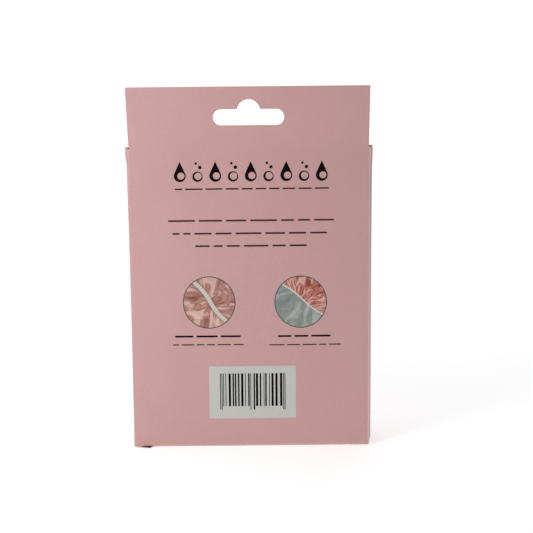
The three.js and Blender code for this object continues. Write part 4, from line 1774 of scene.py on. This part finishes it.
def make_sweep_paper():
    """White paper that glows: dim on the camera's side, brighter towards the back. Lengths are metres."""
    material, tree, bsdf = new_material("white_sweep", Roughness=0.9)
    feed(tree, bsdf, {"Base Color": (0.8, 0.8, 0.8, 1.0), "Emission Color": (1.0, 1.0, 1.0, 1.0)})
    place = add(tree, "ShaderNodeTexCoord").outputs["Object"]
    axes = add(tree, "ShaderNodeSeparateXYZ", {"Vector": place}).outputs
    aside = add(tree, "ShaderNodeMath", {0: axes["X"]}, operation="ABSOLUTE")
    fan = {0: aside, 1: camera_spread, 2: axes["Y"]}
    behind = add(tree, "ShaderNodeMath", fan, operation="MULTIPLY_ADD")
    dimming = {"Value": behind, "From Min": camera_far, "From Max": camera_near, "To Min": camera_glow}
    wedge = add(tree, "ShaderNodeMapRange", dimming)
    depth = {"Value": axes["Y"], "From Max": glow_depth, "To Min": near_glow, "To Max": far_glow}
    distance = add(tree, "ShaderNodeMapRange", depth)
    glow = add(tree, "ShaderNodeMath", {0: wedge, 1: distance}, operation="MULTIPLY")
    feed(tree, bsdf, {"Emission Strength": glow})
    return material


sweep_paper = make_sweep_paper()
print("backdrop:", sweep_paper.name)

# %% Sweep
floor_rings = (300.0, 800.0)
floor_radius, curve_radius, wall_top = 1300.0, 900.0, 2600.0
curve_steps, around_steps = 17, 97


def make_sweep():
    """A round white floor that curves up into a wall all round, so every view has the same backdrop."""
    profile = [(radius, 0.0) for radius in floor_rings]
    for angle in np.linspace(0, math.pi / 2, curve_steps):
        profile.append((floor_radius + curve_radius * math.sin(angle), curve_radius * (1 - math.cos(angle))))
    profile.append((floor_radius + curve_radius, wall_top))
    around = np.linspace(0, 2 * math.pi, around_steps)[:-1]
    points = [(r * math.cos(a), r * math.sin(a), z) for r, z in profile for a in around]
    count = len(around)
    faces = [tuple(range(count))]
    for k in range(len(profile) - 1):
        low, high = k * count, (k + 1) * count
        faces += [(low + (j + 1) % count, low + j, high + j, high + (j + 1) % count) for j in range(count)]
    sweep = make_object("studio_sweep", points, faces, [sweep_paper])
    print(f"sweep: {len(faces)} faces")


make_sweep()

# %% Lights and colour
WORLD_STRENGTH = 0.2


def add_light(name, place, aim, size, power):
    """A soft box that lights the scene and isn't seen itself."""
    data = bpy.data.lights.new(name, "AREA")
    data.shape = "RECTANGLE"
    data.size, data.size_y = size
    data.energy = power
    light = bpy.data.objects.new(name, data)
    light.location = place
    light.visible_camera = False
    light.rotation_mode = "QUATERNION"
    light.rotation_quaternion = (Vector(aim) - Vector(place)).to_track_quat("-Z", "Y")
    bpy.context.scene.collection.objects.link(light)
    print(f"{name}: {power} W")


add_light("left_softbox", place=(-0.2, -0.2, 0.2), aim=(0, 0, 0.09), size=(0.1, 0.3), power=0.431)
add_light("right_softbox", place=(0.2, -0.2, 0.12), aim=(0, 0, 0.06), size=(0.1, 0.3), power=0.02)
add_light("top_softbox", place=(0.0, 0.25, 1.1), aim=(0, 0.1, 0.0), size=(1.2, 1.2), power=2.7)
world = bpy.data.worlds.new("studio_world")
bpy.context.scene.world = world
world.use_nodes = True
sky = world.node_tree.nodes["Background"]
feed(world.node_tree, sky, {"Color": (1, 1, 1, 1), "Strength": WORLD_STRENGTH})
bpy.context.scene.view_settings.view_transform = "Standard"
